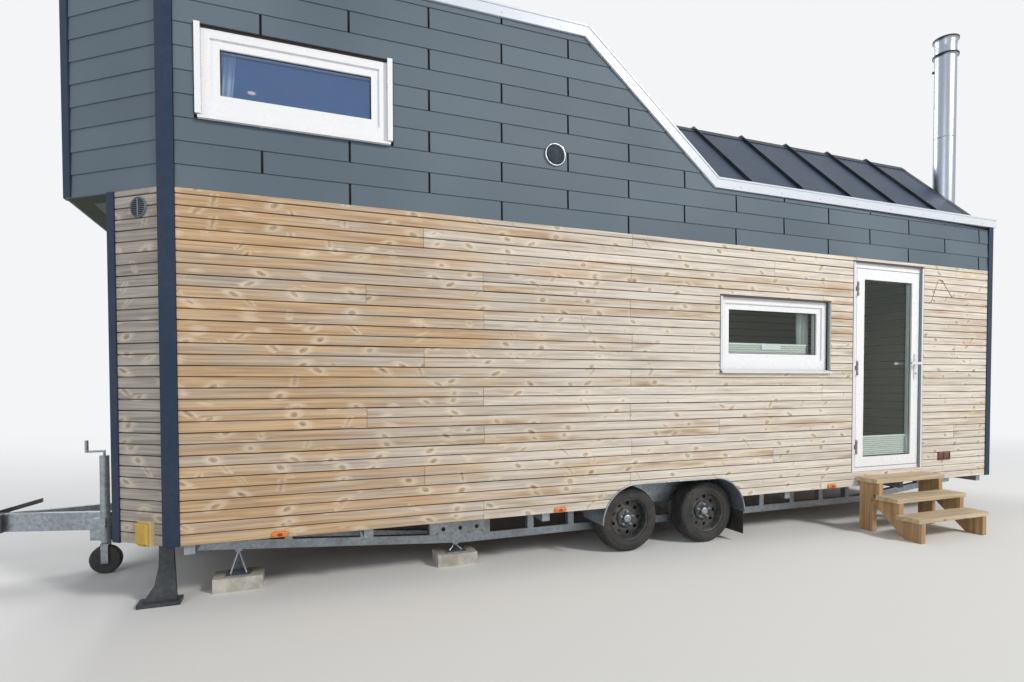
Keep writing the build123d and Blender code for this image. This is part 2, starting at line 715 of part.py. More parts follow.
def make_side_beam():
    front_x, rear_x = 60.0, WALL_LENGTH - 60.0
    y0, y1 = BEAM_Y - BEAM / 2, BEAM_Y + BEAM / 2
    xs = [front_x, BELLY_FRONT_X, BELLY_REAR_X, rear_x]
    low = [(x, belly_height(x)) for x in xs]
    high = shifted(low, LOW_CHORD)
    beam = side_prism(low + high[::-1], y0, y1)
    beam += block(front_x, rear_x, y0, y1, SKIRT_Z - TOP_CHORD, SKIRT_Z)
    for x in [front_x + BEAM / 2, *POST_XS, rear_x - BEAM / 2]:
        beam += block(x - BEAM / 2, x + BEAM / 2, y0, y1, belly_height(x) + LOW_CHORD / 2, SKIRT_Z - TOP_CHORD / 2)
    plate = block(*PLATE_SPAN, y0, y0 + PLATE, belly_height(PLATE_SPAN[0]) + LOW_CHORD / 2, SKIRT_Z - TOP_CHORD / 2)
    holes = [rod((x, y0 - PLATE, PLATE_HOLE_Z), (x, y0 + 2 * PLATE, PLATE_HOLE_Z), PLATE_HOLE_R)
             for x in PLATE_HOLE_XS]
    return beam + plate - holes


SIDE_BEAM = make_side_beam()


def make_chassis():
    y0, y1 = BEAM_Y + BEAM / 2, WIDTH - BEAM_Y - BEAM / 2
    members, outriggers = [], []
    for x in MEMBER_XS:
        x0, x1 = x - MEMBER / 2, x + MEMBER / 2
        members.append(block(x0, x1, y0, y1, SKIRT_Z - TOP_CHORD, SKIRT_Z))
        outer = block(x0, x1, OUTRIGGER_Y, BEAM_Y - BEAM / 2, SKIRT_Z - TOP_CHORD, SKIRT_Z)
        outriggers += [outer, mirrored(outer)]
    return {
        "side_beams": both_sides(SIDE_BEAM),
        "cross_members": Compound(children=members + outriggers),
    }


def arm_y(x):
    """Centre line of the near drawbar arm in plan."""
    share = (BELLY_FRONT_X - x) / (BELLY_FRONT_X - DRAWBAR_TIP_X)
    return BEAM_Y + BEAM + share * (WIDTH / 2 - BEAM_Y - BEAM)


def make_drawbar():
    high_z = DRAWBAR_Z + DRAWBAR_H / 2
    front = (DRAWBAR_TIP_X, arm_y(DRAWBAR_TIP_X), high_z)
    back = (DRAWBAR_END_X, arm_y(DRAWBAR_END_X), high_z)
    head = bar(front, back, BEAM, DRAWBAR_H)
    start = (ARM_START_X, arm_y(ARM_START_X), DRAWBAR_Z - ARM_H / 2)
    knee = (DRAWBAR_END_X, arm_y(DRAWBAR_END_X), DRAWBAR_Z - ARM_H / 2)
    end = (BELLY_FRONT_X, arm_y(BELLY_FRONT_X), BELLY_Z + ARM_H / 2)
    arm = bar(start, knee, BEAM, ARM_H) + bar(knee, end, BEAM, ARM_H)
    near = head + arm
    tie_x = DRAWBAR_END_X - 60
    tie = block(tie_x, tie_x + 60, arm_y(tie_x), WIDTH - arm_y(tie_x), DRAWBAR_Z, DRAWBAR_Z + 60)
    behind_tip = block(DRAWBAR_TIP_X, BELLY_FRONT_X + BEAM, 0, WIDTH, 0, SKIRT_Z + BEAM)
    return {"drawbar": (near + mirrored(near) + tie) & behind_tip}


def make_coupling():
    """Overrun housing, bellows, ball coupling with its grip, and the handbrake lever."""
    tip = DRAWBAR_TIP_X
    mid_y = WIDTH / 2
    mid_z = DRAWBAR_Z + DRAWBAR_H / 2
    half = DRAWBAR_H / 2
    housing = block(tip - 150, tip, mid_y - 70, mid_y + 70, mid_z - half, mid_z + half)
    folds = [(150.0, BELLOWS_R - FOLD)]
    for index in range(FOLDS):
        start = 150.0 + index * FOLD_PITCH
        folds += [(start + FOLD_PITCH / 2, BELLOWS_R), (start + FOLD_PITCH, BELLOWS_R - FOLD)]
    bellows = Pos(tip, mid_y, mid_z) * Rot(0, -90, 0) * ring_stack(folds, 24)
    shaft_end = tip - folds[-1][0]
    shaft = rod((shaft_end, mid_y, mid_z), (tip - 480, mid_y, mid_z), SHAFT_R, 20)
    head = block(tip - 640, tip - 470, mid_y - 45, mid_y + 45, mid_z - 40, mid_z + 45)
    head -= Pos(tip - 590, mid_y, mid_z - 40) * Sphere(BALL_R)
    grip = bar((tip - 630, mid_y, mid_z + 50), (tip - 430, mid_y, mid_z + 110), 40, 26)
    bracket = block(tip - 150, tip - 80, mid_y + 70, mid_y + 100, mid_z - 30, mid_z + half)
    lever = bar((tip - 130, mid_y + 85, mid_z + 40), (tip + 190, mid_y + 85, mid_z + 130), 30, 30)
    return {"overrun_coupling": housing + bellows + shaft + head + grip + bracket + lever}


def make_jockey():
    """The clamped tube with its crank, the fork that swivels in it, and the wheel."""
    x, y = JOCKEY_X, arm_y(JOCKEY_X) - BEAM / 2 - JOCKEY_R - 2 * JOCKEY_GAP
    crown_z = 2 * JOCKEY_WHEEL_R + JOCKEY_GAP
    crown_top = crown_z + FORK_PLATE
    tube_z = crown_top + JOCKEY_GAP
    tube = rod((x, y, tube_z), (x, y, JOCKEY_TOP_Z), JOCKEY_R, 20)
    bore = pin((x, y, tube_z), (x, y, tube_z + STEM_H), STEM_R + SEAT)
    turn = degrees(atan2(arm_y(1.0) - arm_y(0.0), 1.0))
    clamp = block(-40, 40, -BEAM / 2 - 2 * JOCKEY_R - 4 * JOCKEY_GAP, -BEAM / 2, DRAWBAR_Z + 30, DRAWBAR_Z + 100)
    clamp = Pos(x, arm_y(x), 0) * Rot(0, 0, turn) * clamp
    crank = rod((x, y, JOCKEY_TOP_Z), (x, y, JOCKEY_TOP_Z + 35), 9)
    crank += rod((x + 8, y, JOCKEY_TOP_Z + 30), (x - 110, y, JOCKEY_TOP_Z + 30), 8)
    crank += rod((x - 105, y, JOCKEY_TOP_Z + 25), (x - 105, y, JOCKEY_TOP_Z + 110), 12)
    half = JOCKEY_WHEEL_W / 2 + JOCKEY_GAP
    fork = block(x - 25, x + 25, y - half - FORK_PLATE, y + half + FORK_PLATE, crown_z, crown_top)
    fork += block(x - 22, x + 22, y - half - FORK_PLATE, y - half, JOCKEY_WHEEL_R - 22, crown_top)
    fork += block(x - 22, x + 22, y + half, y + half + FORK_PLATE, JOCKEY_WHEEL_R - 22, crown_top)
    fork += pin((x, y - half - FORK_PLATE, JOCKEY_WHEEL_R), (x, y + half + FORK_PLATE, JOCKEY_WHEEL_R), JOCKEY_PIN_R)
    fork += pin((x, y, crown_top), (x, y, tube_z + STEM_H - JOCKEY_GAP), STEM_R)
    edge, broad = JOCKEY_WHEEL_W / 2, JOCKEY_WHEEL_W / 2 - 9
    outline = [(-edge, JOCKEY_WHEEL_R - 9), (-broad, JOCKEY_WHEEL_R), (broad, JOCKEY_WHEEL_R), (edge, JOCKEY_WHEEL_R - 9)]
    wheel = ring_stack(outline, 28) - Cylinder(JOCKEY_PIN_R + SEAT, JOCKEY_WHEEL_W)
    return {
        "jockey_stand": tube + clamp + crank - bore,
        "jockey_fork": fork,
        "jockey_wheel": Pos(x, y, JOCKEY_WHEEL_R) * Rot(90, 0, 0) * wheel,
    }


def make_axle(x):
    tube_x, tube_z = x - 130, 272.0
    inner_y = WHEEL_FACE_Y + TYRE_W + 10
    tube = Pos(tube_x, WIDTH / 2, tube_z) * Box(80, WIDTH - 2 * inner_y, 80)
    near = block(tube_x - 40, x + 40, inner_y, inner_y + 22, 232, 312)
    near += block(tube_x - 60, tube_x + 60, BEAM_Y - BEAM / 2 + 4, BEAM_Y + BEAM / 2 - 4,
                  BELLY_Z + LOW_CHORD, SKIRT_Z - TOP_CHORD)
    near += rod((x, WHEEL_FACE_Y + 110, TYRE_R), (x, inner_y + 10, TYRE_R), DRUM_R, 24)
    near += pin((x, WHEEL_FACE_Y + 40, TYRE_R), (x, inner_y + 10, TYRE_R), PIVOT_R)
    return tube + near + mirrored(near)


def make_wheel():
    """The tyre and the rim of one wheel, with its outer face up and its middle at the origin."""
    half = TYRE_W / 2
    side = [(half - 12, RIM_R), (half, RIM_R + 34), (half - 5, TYRE_R - 26), (half - 30, TYRE_R)]
    outline = [(-depth, radius) for depth, radius in side] + side[::-1]
    tyre = ring_stack(outline, WHEEL_SIDES) - prism(RIM_R + SEAT, WHEEL_SIDES, -half, half)
    lip = half - 10
    rim = prism(RIM_R, WHEEL_SIDES, -lip, lip) - prism(RIM_R - RIM_SHEET, WHEEL_SIDES, -lip, lip)
    disc = prism(RIM_R - RIM_SHEET / 2, WHEEL_SIDES, half - DISC_DEPTH, half - DISC_DEPTH + RIM_SHEET)
    disc += prism(HUB_SEAT_R, WHEEL_SIDES, half - DISC_DEPTH + RIM_SHEET, half - DISC_DEPTH + 2.5 * RIM_SHEET)
    disc -= Cylinder(PIVOT_R + SEAT, TYRE_W)
    hole = prism(RIM_HOLE_R, 8, -half, half)
    for index in range(RIM_HOLES):
        disc -= Rot(0, 0, 360 * index / RIM_HOLES) * Pos(RIM_HOLE_RING, 0, 0) * hole
    return tyre, rim + disc


def make_wheels():
    nodes = {"axles": Compound(children=[make_axle(x) for x in WHEEL_XS])}
    wheel = dict(zip(("tyre", "rim"), make_wheel()))
    for place, x in zip(("front", "rear"), WHEEL_XS):
        near = Pos(x, WHEEL_FACE_Y + TYRE_W / 2, TYRE_R) * Rot(90, 0, 0)
        far = Pos(x, WIDTH - WHEEL_FACE_Y - TYRE_W / 2, TYRE_R) * Rot(-90, 0, 0)
        for name, piece in wheel.items():
            nodes["near_" + place + "_" + name] = near * piece
            nodes["far_" + place + "_" + name] = far * piece
    return nodes


def make_mudguards():
    y1 = WELL_DEPTH
    shell = arch(GUARD_R, -TRIM, y1 + GUARD_SHEET) - arch(GUARD_R - GUARD_SHEET, -2 * TRIM, y1)
    shell &= block(0, WALL_LENGTH, -2 * TRIM, WIDTH, TYRE_R, TOP_Z)
    shell -= side_beam_room()
    flap_x = WHEEL_XS[1] + GUARD_R - GUARD_SHEET
    flap = block(flap_x, flap_x + 6, 0, WELL_DEPTH - 20, 70, TYRE_R)
    return {"mudguards": both_sides(shell), "mud_flaps": both_sides(flap)}


def side_beam_room():
    return block(0, WALL_LENGTH, WELL_DEPTH - 1, WELL_DEPTH + 20, 0, SKIRT_Z)


def make_stands():
    stands, blocks = [], []
    length, depth, tall = STAND_BLOCK
    for x in STAND_XS:
        top = belly_height(x)
        stand = block(x - 22, x + 22, BEAM_Y - 22, BEAM_Y + 22, top - 14, top + 14) - SIDE_BEAM
        for angle in (90, 210, 330):
            reach = (x + 55 * cos(radians(angle)), BEAM_Y + 55 * sin(radians(angle)), tall + 9)
            stand += rod((x, BEAM_Y, top - 10), reach, 7)
        stand += Pos(x, BEAM_Y, tall + 4) * Box(150, 150, 8)
        base = block(x - length / 2, x + length / 2, BEAM_Y - depth / 2, BEAM_Y + depth / 2, 0, tall)
        stands += [stand, mirrored(stand)]
        blocks += [base, mirrored(base)]
    leg = side_prism([(-20, SKIRT_Z), (-95, SKIRT_Z), (-100, 240), (-125, 120), (-190, 24), (-5, 24), (-15, 240)],
                     160, 200)
    leg += block(-215, 20, 120, 240, 0, 24)
    return {
        "prop_stands": Compound(children=stands),
        "prop_blocks": Compound(children=blocks),
        "corner_legs": both_sides(leg),
    }


def make_step_side(x):
    """One side of the steps: a rear board, a notched stringer and the short posts, from x inwards."""
    post_end = x + STEP_POST
    unders = [top - TREAD for top in TREAD_TOPS]
    foots = [TREAD_TOPS[1], TREAD_TOPS[2], 0.0]
    rear = block(x, post_end, -REAR_BOARD_FRONT, -REAR_BOARD_BACK, 0, unders[0])
    posts = [block(x, post_end, -front, STEP_POST_DEPTH - front, foot, under)
             for front, foot, under in zip(TREAD_FRONTS, foots, unders)]
    last_back = TREAD_FRONTS[2] - STEP_POST_DEPTH
    outline = [
        (-REAR_BOARD_FRONT, unders[1]),
        (-REAR_BOARD_FRONT, STRINGER_HEEL_Z),
        (-STRINGER_FOOT, 0.0),
        (-last_back, 0.0),
        (-last_back, unders[2]),
        (-TREAD_BACKS[2], unders[2]),
        (-TREAD_BACKS[2], unders[1]),
    ]
    inset = (STEP_POST - STRINGER) / 2
    stringer = end_prism(outline, x + inset, post_end - inset)
    return [rear + stringer + posts[2], posts[0], posts[1]]


def make_steps():
    left, right = STEP_X, STEP_X + STEP_W
    treads = [block(left, right, -front, -back, top - TREAD, top)
              for top, front, back in zip(TREAD_TOPS, TREAD_FRONTS, TREAD_BACKS)]
    sides = make_step_side(left + STEP_INSET) + make_step_side(right - STEP_INSET - STEP_POST)
    return {"step_treads": Compound(children=treads), "step_frame": Compound(children=sides)}


pieces = {"floor": make_floor()}
for group in (
    make_lower_walls(),
    make_upper_walls(),
    make_roof(),
    make_fascias(),
    make_corner_trims(),
    make_windows(),
    make_door(),
    make_vents(),
    make_flue(),
    make_small_fittings(),
    make_chassis(),
    make_drawbar(),
    make_coupling(),
    make_jockey(),
    make_wheels(),
    make_mudguards(),
    make_stands(),
    make_steps(),
):
    pieces.update(group)

# The origin is on the ground in the middle of the whole footprint
boxes = [piece.bounding_box() for piece in pieces.values()]
low_x, high_x = min(box.min.X for box in boxes), max(box.max.X for box in boxes)
low_y, high_y = min(box.min.Y for box in boxes), max(box.max.Y for box in boxes)
ORIGIN = Pos(-(low_x + high_x) / 2, -(low_y + high_y) / 2, 0)
print("length", high_x - low_x, "width", high_y - low_y)
print("origin shift", ORIGIN.position)

os.makedirs("parts", exist_ok=True)
for name, piece in pieces.items():
    solids = [ORIGIN * solid for solid in piece.solids()]
    export_step(Compound(solids), "parts/" + name + ".step")
print(len(pieces), "nodes written")
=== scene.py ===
# %% [markdown]
# # A tiny house on wheels
# This lesson dresses a finished construction model. The model is loaded as a fixed frame, in metres, and
# every board, slate and fold of cloth is built where the frame says that it belongs.

# %% Load the frame
from math import atan2, cos, pi, sin, sqrt, tan
from random import Random
import bmesh
import bpy
from mathutils import Matrix, Vector, noise


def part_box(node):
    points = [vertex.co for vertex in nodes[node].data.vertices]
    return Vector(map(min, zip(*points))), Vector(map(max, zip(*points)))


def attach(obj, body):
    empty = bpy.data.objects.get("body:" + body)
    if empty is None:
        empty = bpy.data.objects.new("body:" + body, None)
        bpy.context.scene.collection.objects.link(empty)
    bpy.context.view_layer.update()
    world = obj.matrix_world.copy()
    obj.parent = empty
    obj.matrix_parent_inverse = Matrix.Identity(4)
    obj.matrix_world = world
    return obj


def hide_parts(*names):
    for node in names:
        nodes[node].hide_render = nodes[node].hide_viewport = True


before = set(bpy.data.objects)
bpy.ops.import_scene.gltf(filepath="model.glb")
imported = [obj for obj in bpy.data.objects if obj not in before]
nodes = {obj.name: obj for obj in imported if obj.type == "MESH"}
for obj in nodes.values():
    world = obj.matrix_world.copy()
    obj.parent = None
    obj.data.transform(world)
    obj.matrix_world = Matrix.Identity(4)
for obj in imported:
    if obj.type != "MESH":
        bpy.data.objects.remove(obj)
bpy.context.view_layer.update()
link = bpy.context.scene.collection.objects.link

# %% [markdown]
# ## A way to write shaders as sums
# A material is a graph of nodes. Adding each node by hand hides the idea behind it, so one small class
# wraps a socket: a plus sign between two values adds a Math node, and everything else goes through `node`.

# %% The socket class
class Value:
    """A socket of a shader graph that can be used in sums."""

    def __init__(self, tree, socket):
        self.tree = tree
        self.socket = socket

    def node(self, kind, settings=None, inputs=None, output=0):
        """Add a node: its settings first, then the values or links of its sockets."""
        made = self.tree.nodes.new(kind)
        for name, setting in (settings or {}).items():
            setattr(made, name, setting)
        for key, value in (inputs or {}).items():
            if isinstance(value, Value):
                self.tree.links.new(value.socket, made.inputs[key])
            else:
                made.inputs[key].default_value = value
        return Value(self.tree, made.outputs[output])

    def math(self, operation, *others):
        return self.node("ShaderNodeMath", {"operation": operation}, dict(enumerate((self, *others))))

    def __rsub__(self, other):
        return self.node("ShaderNodeMath", {"operation": "SUBTRACT"}, {0: other, 1: self})

    __add__ = __radd__ = lambda self, other: self.math("ADD", other)
    __mul__ = __rmul__ = lambda self, other: self.math("MULTIPLY", other)
    __sub__ = lambda self, other: self.math("SUBTRACT", other)
    __truediv__ = lambda self, other: self.math("DIVIDE", other)
    __pow__ = lambda self, other: self.math("POWER", other)

    def clamp(self):
        return self.node("ShaderNodeClamp", inputs={0: self})

    def step(self, low, high):
        """0 below low and 1 above high, smooth between. With low above high it falls instead."""
        ends = {1: high, 2: low, 3: 1.0, 4: 0.0} if low > high else {1: low, 2: high}
        return self.node("ShaderNodeMapRange", {"interpolation_type": "SMOOTHSTEP"}, {0: self, **ends})

    def vector(self, operation, other):
        return self.node("ShaderNodeVectorMath", {"operation": operation}, {0: self, 1: other})

    def times(self, scales):
        """A vector whose three parts are each scaled."""
        return self.vector("MULTIPLY", scales)

    def part(self, index):
        return self.node("ShaderNodeSeparateXYZ", inputs={0: self}, output=index)

    def noise(self, scale, detail=3.0, rough=0.55, warp=0.0):
        sizes = {"Vector": self, "Scale": scale, "Detail": detail, "Roughness": rough, "Distortion": warp}
        return self.node("ShaderNodeTexNoise", inputs=sizes)

    def cells(self, scale, output=0, **more):
        """A cell pattern. Its outputs are the distance to a cell's seed, a chance colour and the seed."""
        sizes = {"Vector": self, "Scale": scale, **more}
        return self.node("ShaderNodeTexVoronoi", inputs=sizes, output=output)

    def mix(self, *ends):
        """Blend two colours, with this value as the share of the second."""
        low, high = (end if isinstance(end, Value) else colour(end) for end in ends)
        return self.node("ShaderNodeMix", {"data_type": "RGBA"}, {0: self, 6: low, 7: high}, output=2)

    def tinted(self, shade):
        """This colour multiplied by a grey value."""
        return self.vector("MULTIPLY", joined(shade, shade, shade))


def joined(*parts):
    """A vector made of three values."""
    return parts[0].node("ShaderNodeCombineXYZ", inputs=dict(enumerate(parts)))


# %% [markdown]
# ## A starting point for every finish
# Each finish starts from one Principled shader. What is the same all over is set on its sockets, and
# only what changes over the surface is linked, so that the finish survives an export to other programs.

# %% The finish helper
def colour(screen):
    """A colour as a screen shows it, from 0 to 255, turned into the linear values that shaders use."""
    linear = [share / 12.92 if share <= 0.04045 else ((share + 0.055) / 1.055) ** 2.4
              for share in (channel / 255 for channel in screen)]
    return (*linear, 1.0)


finishes = {}


def finish(name, base, rough=0.5, **settings):
    """A material with one Principled shader, and the place on the object as a value."""
    material = bpy.data.materials.new(name)
    material.use_nodes = True
    tree = material.node_tree
    shader = tree.nodes["Principled BSDF"]
    shader.inputs["Base Color"].default_value = colour(base)
    shader.inputs["Roughness"].default_value = rough
    for key, setting in settings.items():
        shader.inputs[key.replace("_", " ")].default_value = setting
    finishes[name] = material
    return shader, Value(tree, tree.nodes.new("ShaderNodeTexCoord").outputs["Object"])


def feed(shader, **values):
    """Link values that change over the surface into the shader."""
    for key, value in values.items():
        value.tree.links.new(value.socket, shader.inputs[key.replace("_", " ")])


def bump(shader, height, distance, strength=1.0):
    sizes = {"Strength": strength, "Distance": distance, "Height": height}
    feed(shader, Normal=height.node("ShaderNodeBump", inputs=sizes))


def surface(share, first, second):
    """Let a share decide between two shaders on the way to the output."""
    mixed = share.node("ShaderNodeMixShader", inputs={0: share, 1: first, 2: second})
    output = next(node for node in share.tree.nodes if "Output" in node.name)
    share.tree.links.new(mixed.socket, output.inputs["Surface"])


def seed_value(spot, name):
    """A number that the mesh carries, such as one that tells its boards apart."""
    return spot.node("ShaderNodeAttribute", {"attribute_name": name}, output=2)

# %% [markdown]
# ## Weathered boards
# The lower storey is clad in sawn pine that has spent years outside. Each board has two raised strips
# with a groove between them. The grain is noise drawn out along the board and bent round each knot. A
# knot is the middle of a cell in a cell pattern, and the chance colour of that cell decides whether it
# shows, how it leans and whether it is a long spike. Boards go grey towards the rear and on the nose.

# %% Weathered boards
KNOT_SPACING = 0.37
STRIP = 0.067
KNOT_LONG, KNOT_HIGH = 0.019, 0.014
SPIKE_LONG, SPIKE_HIGH = 0.009, 0.038


def weathered_boards():
    shader, spot = finish("weathered_boards", (190, 168, 138), 0.8)
    along, up, number = (seed_value(spot, name) for name in ("along", "up", "number"))
    cells = joined(along / KNOT_SPACING, up / STRIP, number * 31.0)
    away = cells.vector("SUBTRACT", cells.cells(1.0, 2, Randomness=0.92))
    chance = cells.cells(1.0, 1, Randomness=0.92)
    spike = chance.part(1).step(0.76, 0.80)
    kept = chance.part(2).step(0.30, 0.34)
    wobble = (spot.noise(46.0, 3.0, 0.6) - 0.5) * 0.022
    up_knot = away.part(1) * STRIP
    along_knot = away.part(0) * KNOT_SPACING + up_knot * ((chance.part(0) - 0.5) * 2.6) + wobble
    across = along_knot / (spike * (SPIKE_LONG - KNOT_LONG) + KNOT_LONG)
    rise = up_knot / (spike * (SPIKE_HIGH - KNOT_HIGH) + KNOT_HIGH)
    depth = away.part(2) * 2.2
    reach = (across * across + rise * rise + depth * depth) ** 0.5
    core = reach.step(1.0, 0.55) * kept
    ring = (reach.step(1.5, 1.0) * kept - core).clamp()
    halo = reach.step(4.2, 1.1) * kept
    bent = up + up_knot * halo * -0.6
    streaks = joined(along * 1.5, bent * 64.0, number * 17.0).noise(1.0, 5.0, 0.62, 0.35)
    hairs = joined(along * 9.0, bent * 420.0, number * 7.0).noise(1.0, 3.0, 0.6)
    patches = joined(along * 1.3, up * 13.0, number * 5.0).noise(1.0, 3.0, 0.6)
    rear = spot.part(0).step(-2.9, 0.9)
    nose = spot.part(0).step(-2.79, -2.84)
    worn = (patches * 1.5 - 0.55 + (number - 0.5) * 0.3 + rear * 0.42 + nose * 0.5).step(0.05, 0.62)
    grain = streaks.step(0.25, 0.7)
    warm = grain.mix((166, 134, 100), (208, 177, 138))
    grey = grain.mix((144, 131, 117), (190, 176, 160))
    pale = grain.mix((188, 178, 165), (230, 222, 210))
    silver = grain.mix((128, 122, 116), (178, 171, 162))
    tone = (nose * 0.85).mix(worn.mix(warm, rear.mix(grey, pale)), silver)
    tone = (patches.step(0.40, 0.26) * 0.45).mix(tone, (138, 122, 102))
    tone = (halo * (1.0 - spike * 0.4) * 0.42).mix(tone, (232, 219, 196))
    tone = (ring * (spike * -0.25 + 0.5)).mix(tone, (128, 98, 72))
    heart = rear.mix((146, 108, 76), (172, 144, 116))
    tone = (core * (spike * -0.3 + 0.66)).mix(tone, heart)
    tone = (core * hairs.step(0.52, 0.40) * 0.6).mix(tone, (92, 70, 54))
    shade = (seed_value(spot, "tone") * 0.12 + 0.90) * (hairs * 0.26 + 0.87)
    # Faces set back in the grooves and gaps turn a darker brown: partly the browner wood there, partly
    # painted shade.
    tone = seed_value(spot, "hollow").mix(tone.tinted(shade), (112, 84, 60))
    # The cut ends of each board are darkened: painted shade at the joints and round the openings.
    tone = (seed_value(spot, "cut").step(0.3, 0.8) * 0.7).mix(tone, (88, 66, 48))
    feed(shader, Base_Color=tone, Roughness=streaks * 0.25 + 0.66)
    bump(shader, streaks * 0.6 + hairs * 0.4 + core * 0.4, 0.0012, 0.7)


weathered_boards()

# %% [markdown]
# ## Slates
# The upper storey is clad in long fibre cement slates, a flat blue grey with almost no gloss. A real one
# is never quite even: each slate has a slightly different tone, and its face has a fine cast grain.

# %% Slates
def slates():
    shader, spot = finish("anthracite_slate", (76, 89, 100), 0.6, Specular_IOR_Level=0.3)
    number = seed_value(spot, "number")
    clouds = spot.noise(1.7, 4.0)
    grain = spot.noise(160.0, 2.0)
    shade = clouds * 0.16 + number * 0.12 + grain * 0.10 + 0.80
    tone = spot.noise(0.6, 2.0).step(0.35, 0.65).mix((86, 99, 110), (96, 109, 119))
    # The cut ends of the slates are painted near black: painted shade in the joints between them.
    cut = seed_value(spot, "cut").step(0.35, 0.75)
    feed(shader, Base_Color=cut.mix(tone.tinted(shade), (16, 21, 28)), Roughness=clouds * 0.2 + 0.5)
    bump(shader, grain * 0.5 + spot.noise(14.0, 3.0) * 0.5, 0.0006, 0.5)


slates()

# %% [markdown]
# ## Painted and plastic surfaces
# White window profiles, edging, corner trims and roof sheet are all smooth coatings. What separates them
# from a plain colour is small: a haze of dust, a soft ripple in the sheet, a change of gloss.

# %% Coatings
DUST = (150, 146, 138)
DULL, DULLER = {"Specular_IOR_Level": 0.25}, {"Specular_IOR_Level": 0.22}


def coating(name, base, rough, dust=0.06, dust_tone=DUST, ripple=0.0, grain=90.0, **settings):
    shader, spot = finish(name, base, rough, **settings)
    haze = (spot.noise(2.3, 5.0) * 0.7 + spot.noise(31.0, 3.0) * 0.3).step(0.42, 0.72)
    fine = spot.noise(grain, 2.0)
    tone = (haze * dust).mix(base, dust_tone).tinted(fine * 0.06 + 0.97)
    feed(shader, Base_Color=tone, Roughness=haze * 0.12 + fine * 0.06 + (rough - 0.06))
    bump(shader, spot.noise(3.1, 2.0) * ripple + fine * 0.08, 0.004, 0.35)


# The edging is a greyer, bluer white than the window frames: painted shade.
coating("white_edging", (206, 212, 220), 0.38, ripple=0.2)
coating("white_frames", (235, 236, 238), 0.28, dust=0.02, Coat_Weight=0.25, Coat_Roughness=0.15)
coating("corner_trim_metal", (36, 51, 73), 0.45, **DULLER)
coating("soffit_paint", (54, 66, 54), 0.6, dust=0.15)
coating("roof_metal", (48, 56, 66), 0.5, dust=0.2, ripple=0.6, **DULL)
coating("seam_roof_metal", (45, 60, 80), 0.46, ripple=0.9, **DULLER)
coating("dark_flashing", (32, 42, 50), 0.45, dust=0.12, ripple=0.4, **DULL)
coating("rim_steel", (38, 40, 43), 0.38, dust=0.35)
coating("coupling_black", (26, 27, 29), 0.42, dust=0.25)
coating("leg_steel", (44, 50, 58), 0.45, dust=0.3)
coating("socket_plastic", (190, 170, 128), 0.5, dust=0.3, dust_tone=(96, 84, 66))
coating("grille_plastic", (104, 52, 44), 0.5, dust=0.3)
# The louvre's slats are a paler grey than its ring, which takes this vent grey: painted light on the slats
# and painted shade on the ring.
coating("vent_grey", (74, 86, 98), 0.4, dust=0.15)
coating("louvre_lit_grey", (128, 140, 154), 0.4, dust=0.15)
# Black for seals and lamp bases, painted shade in the vents, and a painted reflection on the flue's flange
# rims.
coating("black_gasket_and_shade", (22, 23, 24), 0.6, dust=0.15)
coating("hinge_grey", (120, 124, 128), 0.4, dust=0.2, Metallic=0.4)
coating("socket_lid_yellow", (196, 160, 70), 0.5, dust=0.35, dust_tone=(110, 92, 60))
coating("spot_glass", (238, 214, 160), 0.3, Emission_Color=colour((255, 226, 172)),
        Emission_Strength=0.75)

# %% [markdown]
# ## Metals
# Galvanised steel shows crystals about two centimetres across, each reflecting a little differently. A
# cell pattern that changes the grey and the gloss is enough for that. Stainless pipe is brushed round
# its length instead, so its noise is drawn out along the brushing.

# %% Metals
def galvanised():
    shader, spot = finish("galvanised_steel", (150, 156, 160), 0.45, Metallic=0.85)
    crystals = spot.cells(55.0, 1).part(0)
    stains = spot.noise(5.0, 5.0).step(0.45, 0.7)
    tone = crystals.mix((142, 149, 156), (168, 175, 181))
    tone = (stains * 0.3).mix(tone, (116, 114, 108))
    feed(shader, Base_Color=tone, Roughness=crystals * 0.08 + stains * 0.16 + 0.38)
    bump(shader, crystals * 0.15 + spot.noise(60.0) * 0.7, 0.0007, 0.35)


def stainless(name, base, rough, stretch):
    shader, spot = finish(name, base, rough, Metallic=1.0)
    brushed = spot.times(stretch).noise(1.0, 3.0)
    clouds = spot.noise(2.2, 3.0)
    feed(shader, Base_Color=(brushed * 0.6 + clouds * 0.4).mix(base, (150, 153, 158)),
         Roughness=brushed * 0.12 + (rough - 0.05) + clouds * 0.05)
    bump(shader, brushed, 0.0002, 0.4)


galvanised()
# The flue's blue tint is a painted reflection of the sky.
stainless("flue_steel", (168, 178, 194), 0.30, (2.0, 2.0, 160.0))
stainless("vent_steel", (196, 198, 201), 0.3, (60.0, 60.0, 60.0))
stainless("handle_steel", (176, 178, 181), 0.34, (30.0, 30.0, 220.0))
# The door handle is a paler, less metallic silver than the other steel: partly its own finish, partly
# painted light.
coating("handle_silver", (222, 222, 228), 0.3, dust=0.0, grain=420.0, Metallic=0.15)

# %% [markdown]
# ## Rubber, concrete, cloth and new pine
# The small pieces get the same care: the tyres are dusty, the prop blocks are cast concrete with pores,
# the blinds are woven, and the steps are planed pine without any grey in it.

# %% Rubber and concrete
def rubber(name, base, dust):
    shader, spot = finish(name, base, 0.72)
    mud = (spot.noise(9.0, 6.0) * 0.6 + spot.noise(70.0, 3.0) * 0.4).step(0.42, 0.66)
    feed(shader, Base_Color=(mud * dust).mix(base, (104, 94, 78)), Roughness=mud * 0.2 + 0.6)
    bump(shader, spot.noise(220.0, 2.0), 0.0004, 0.5)


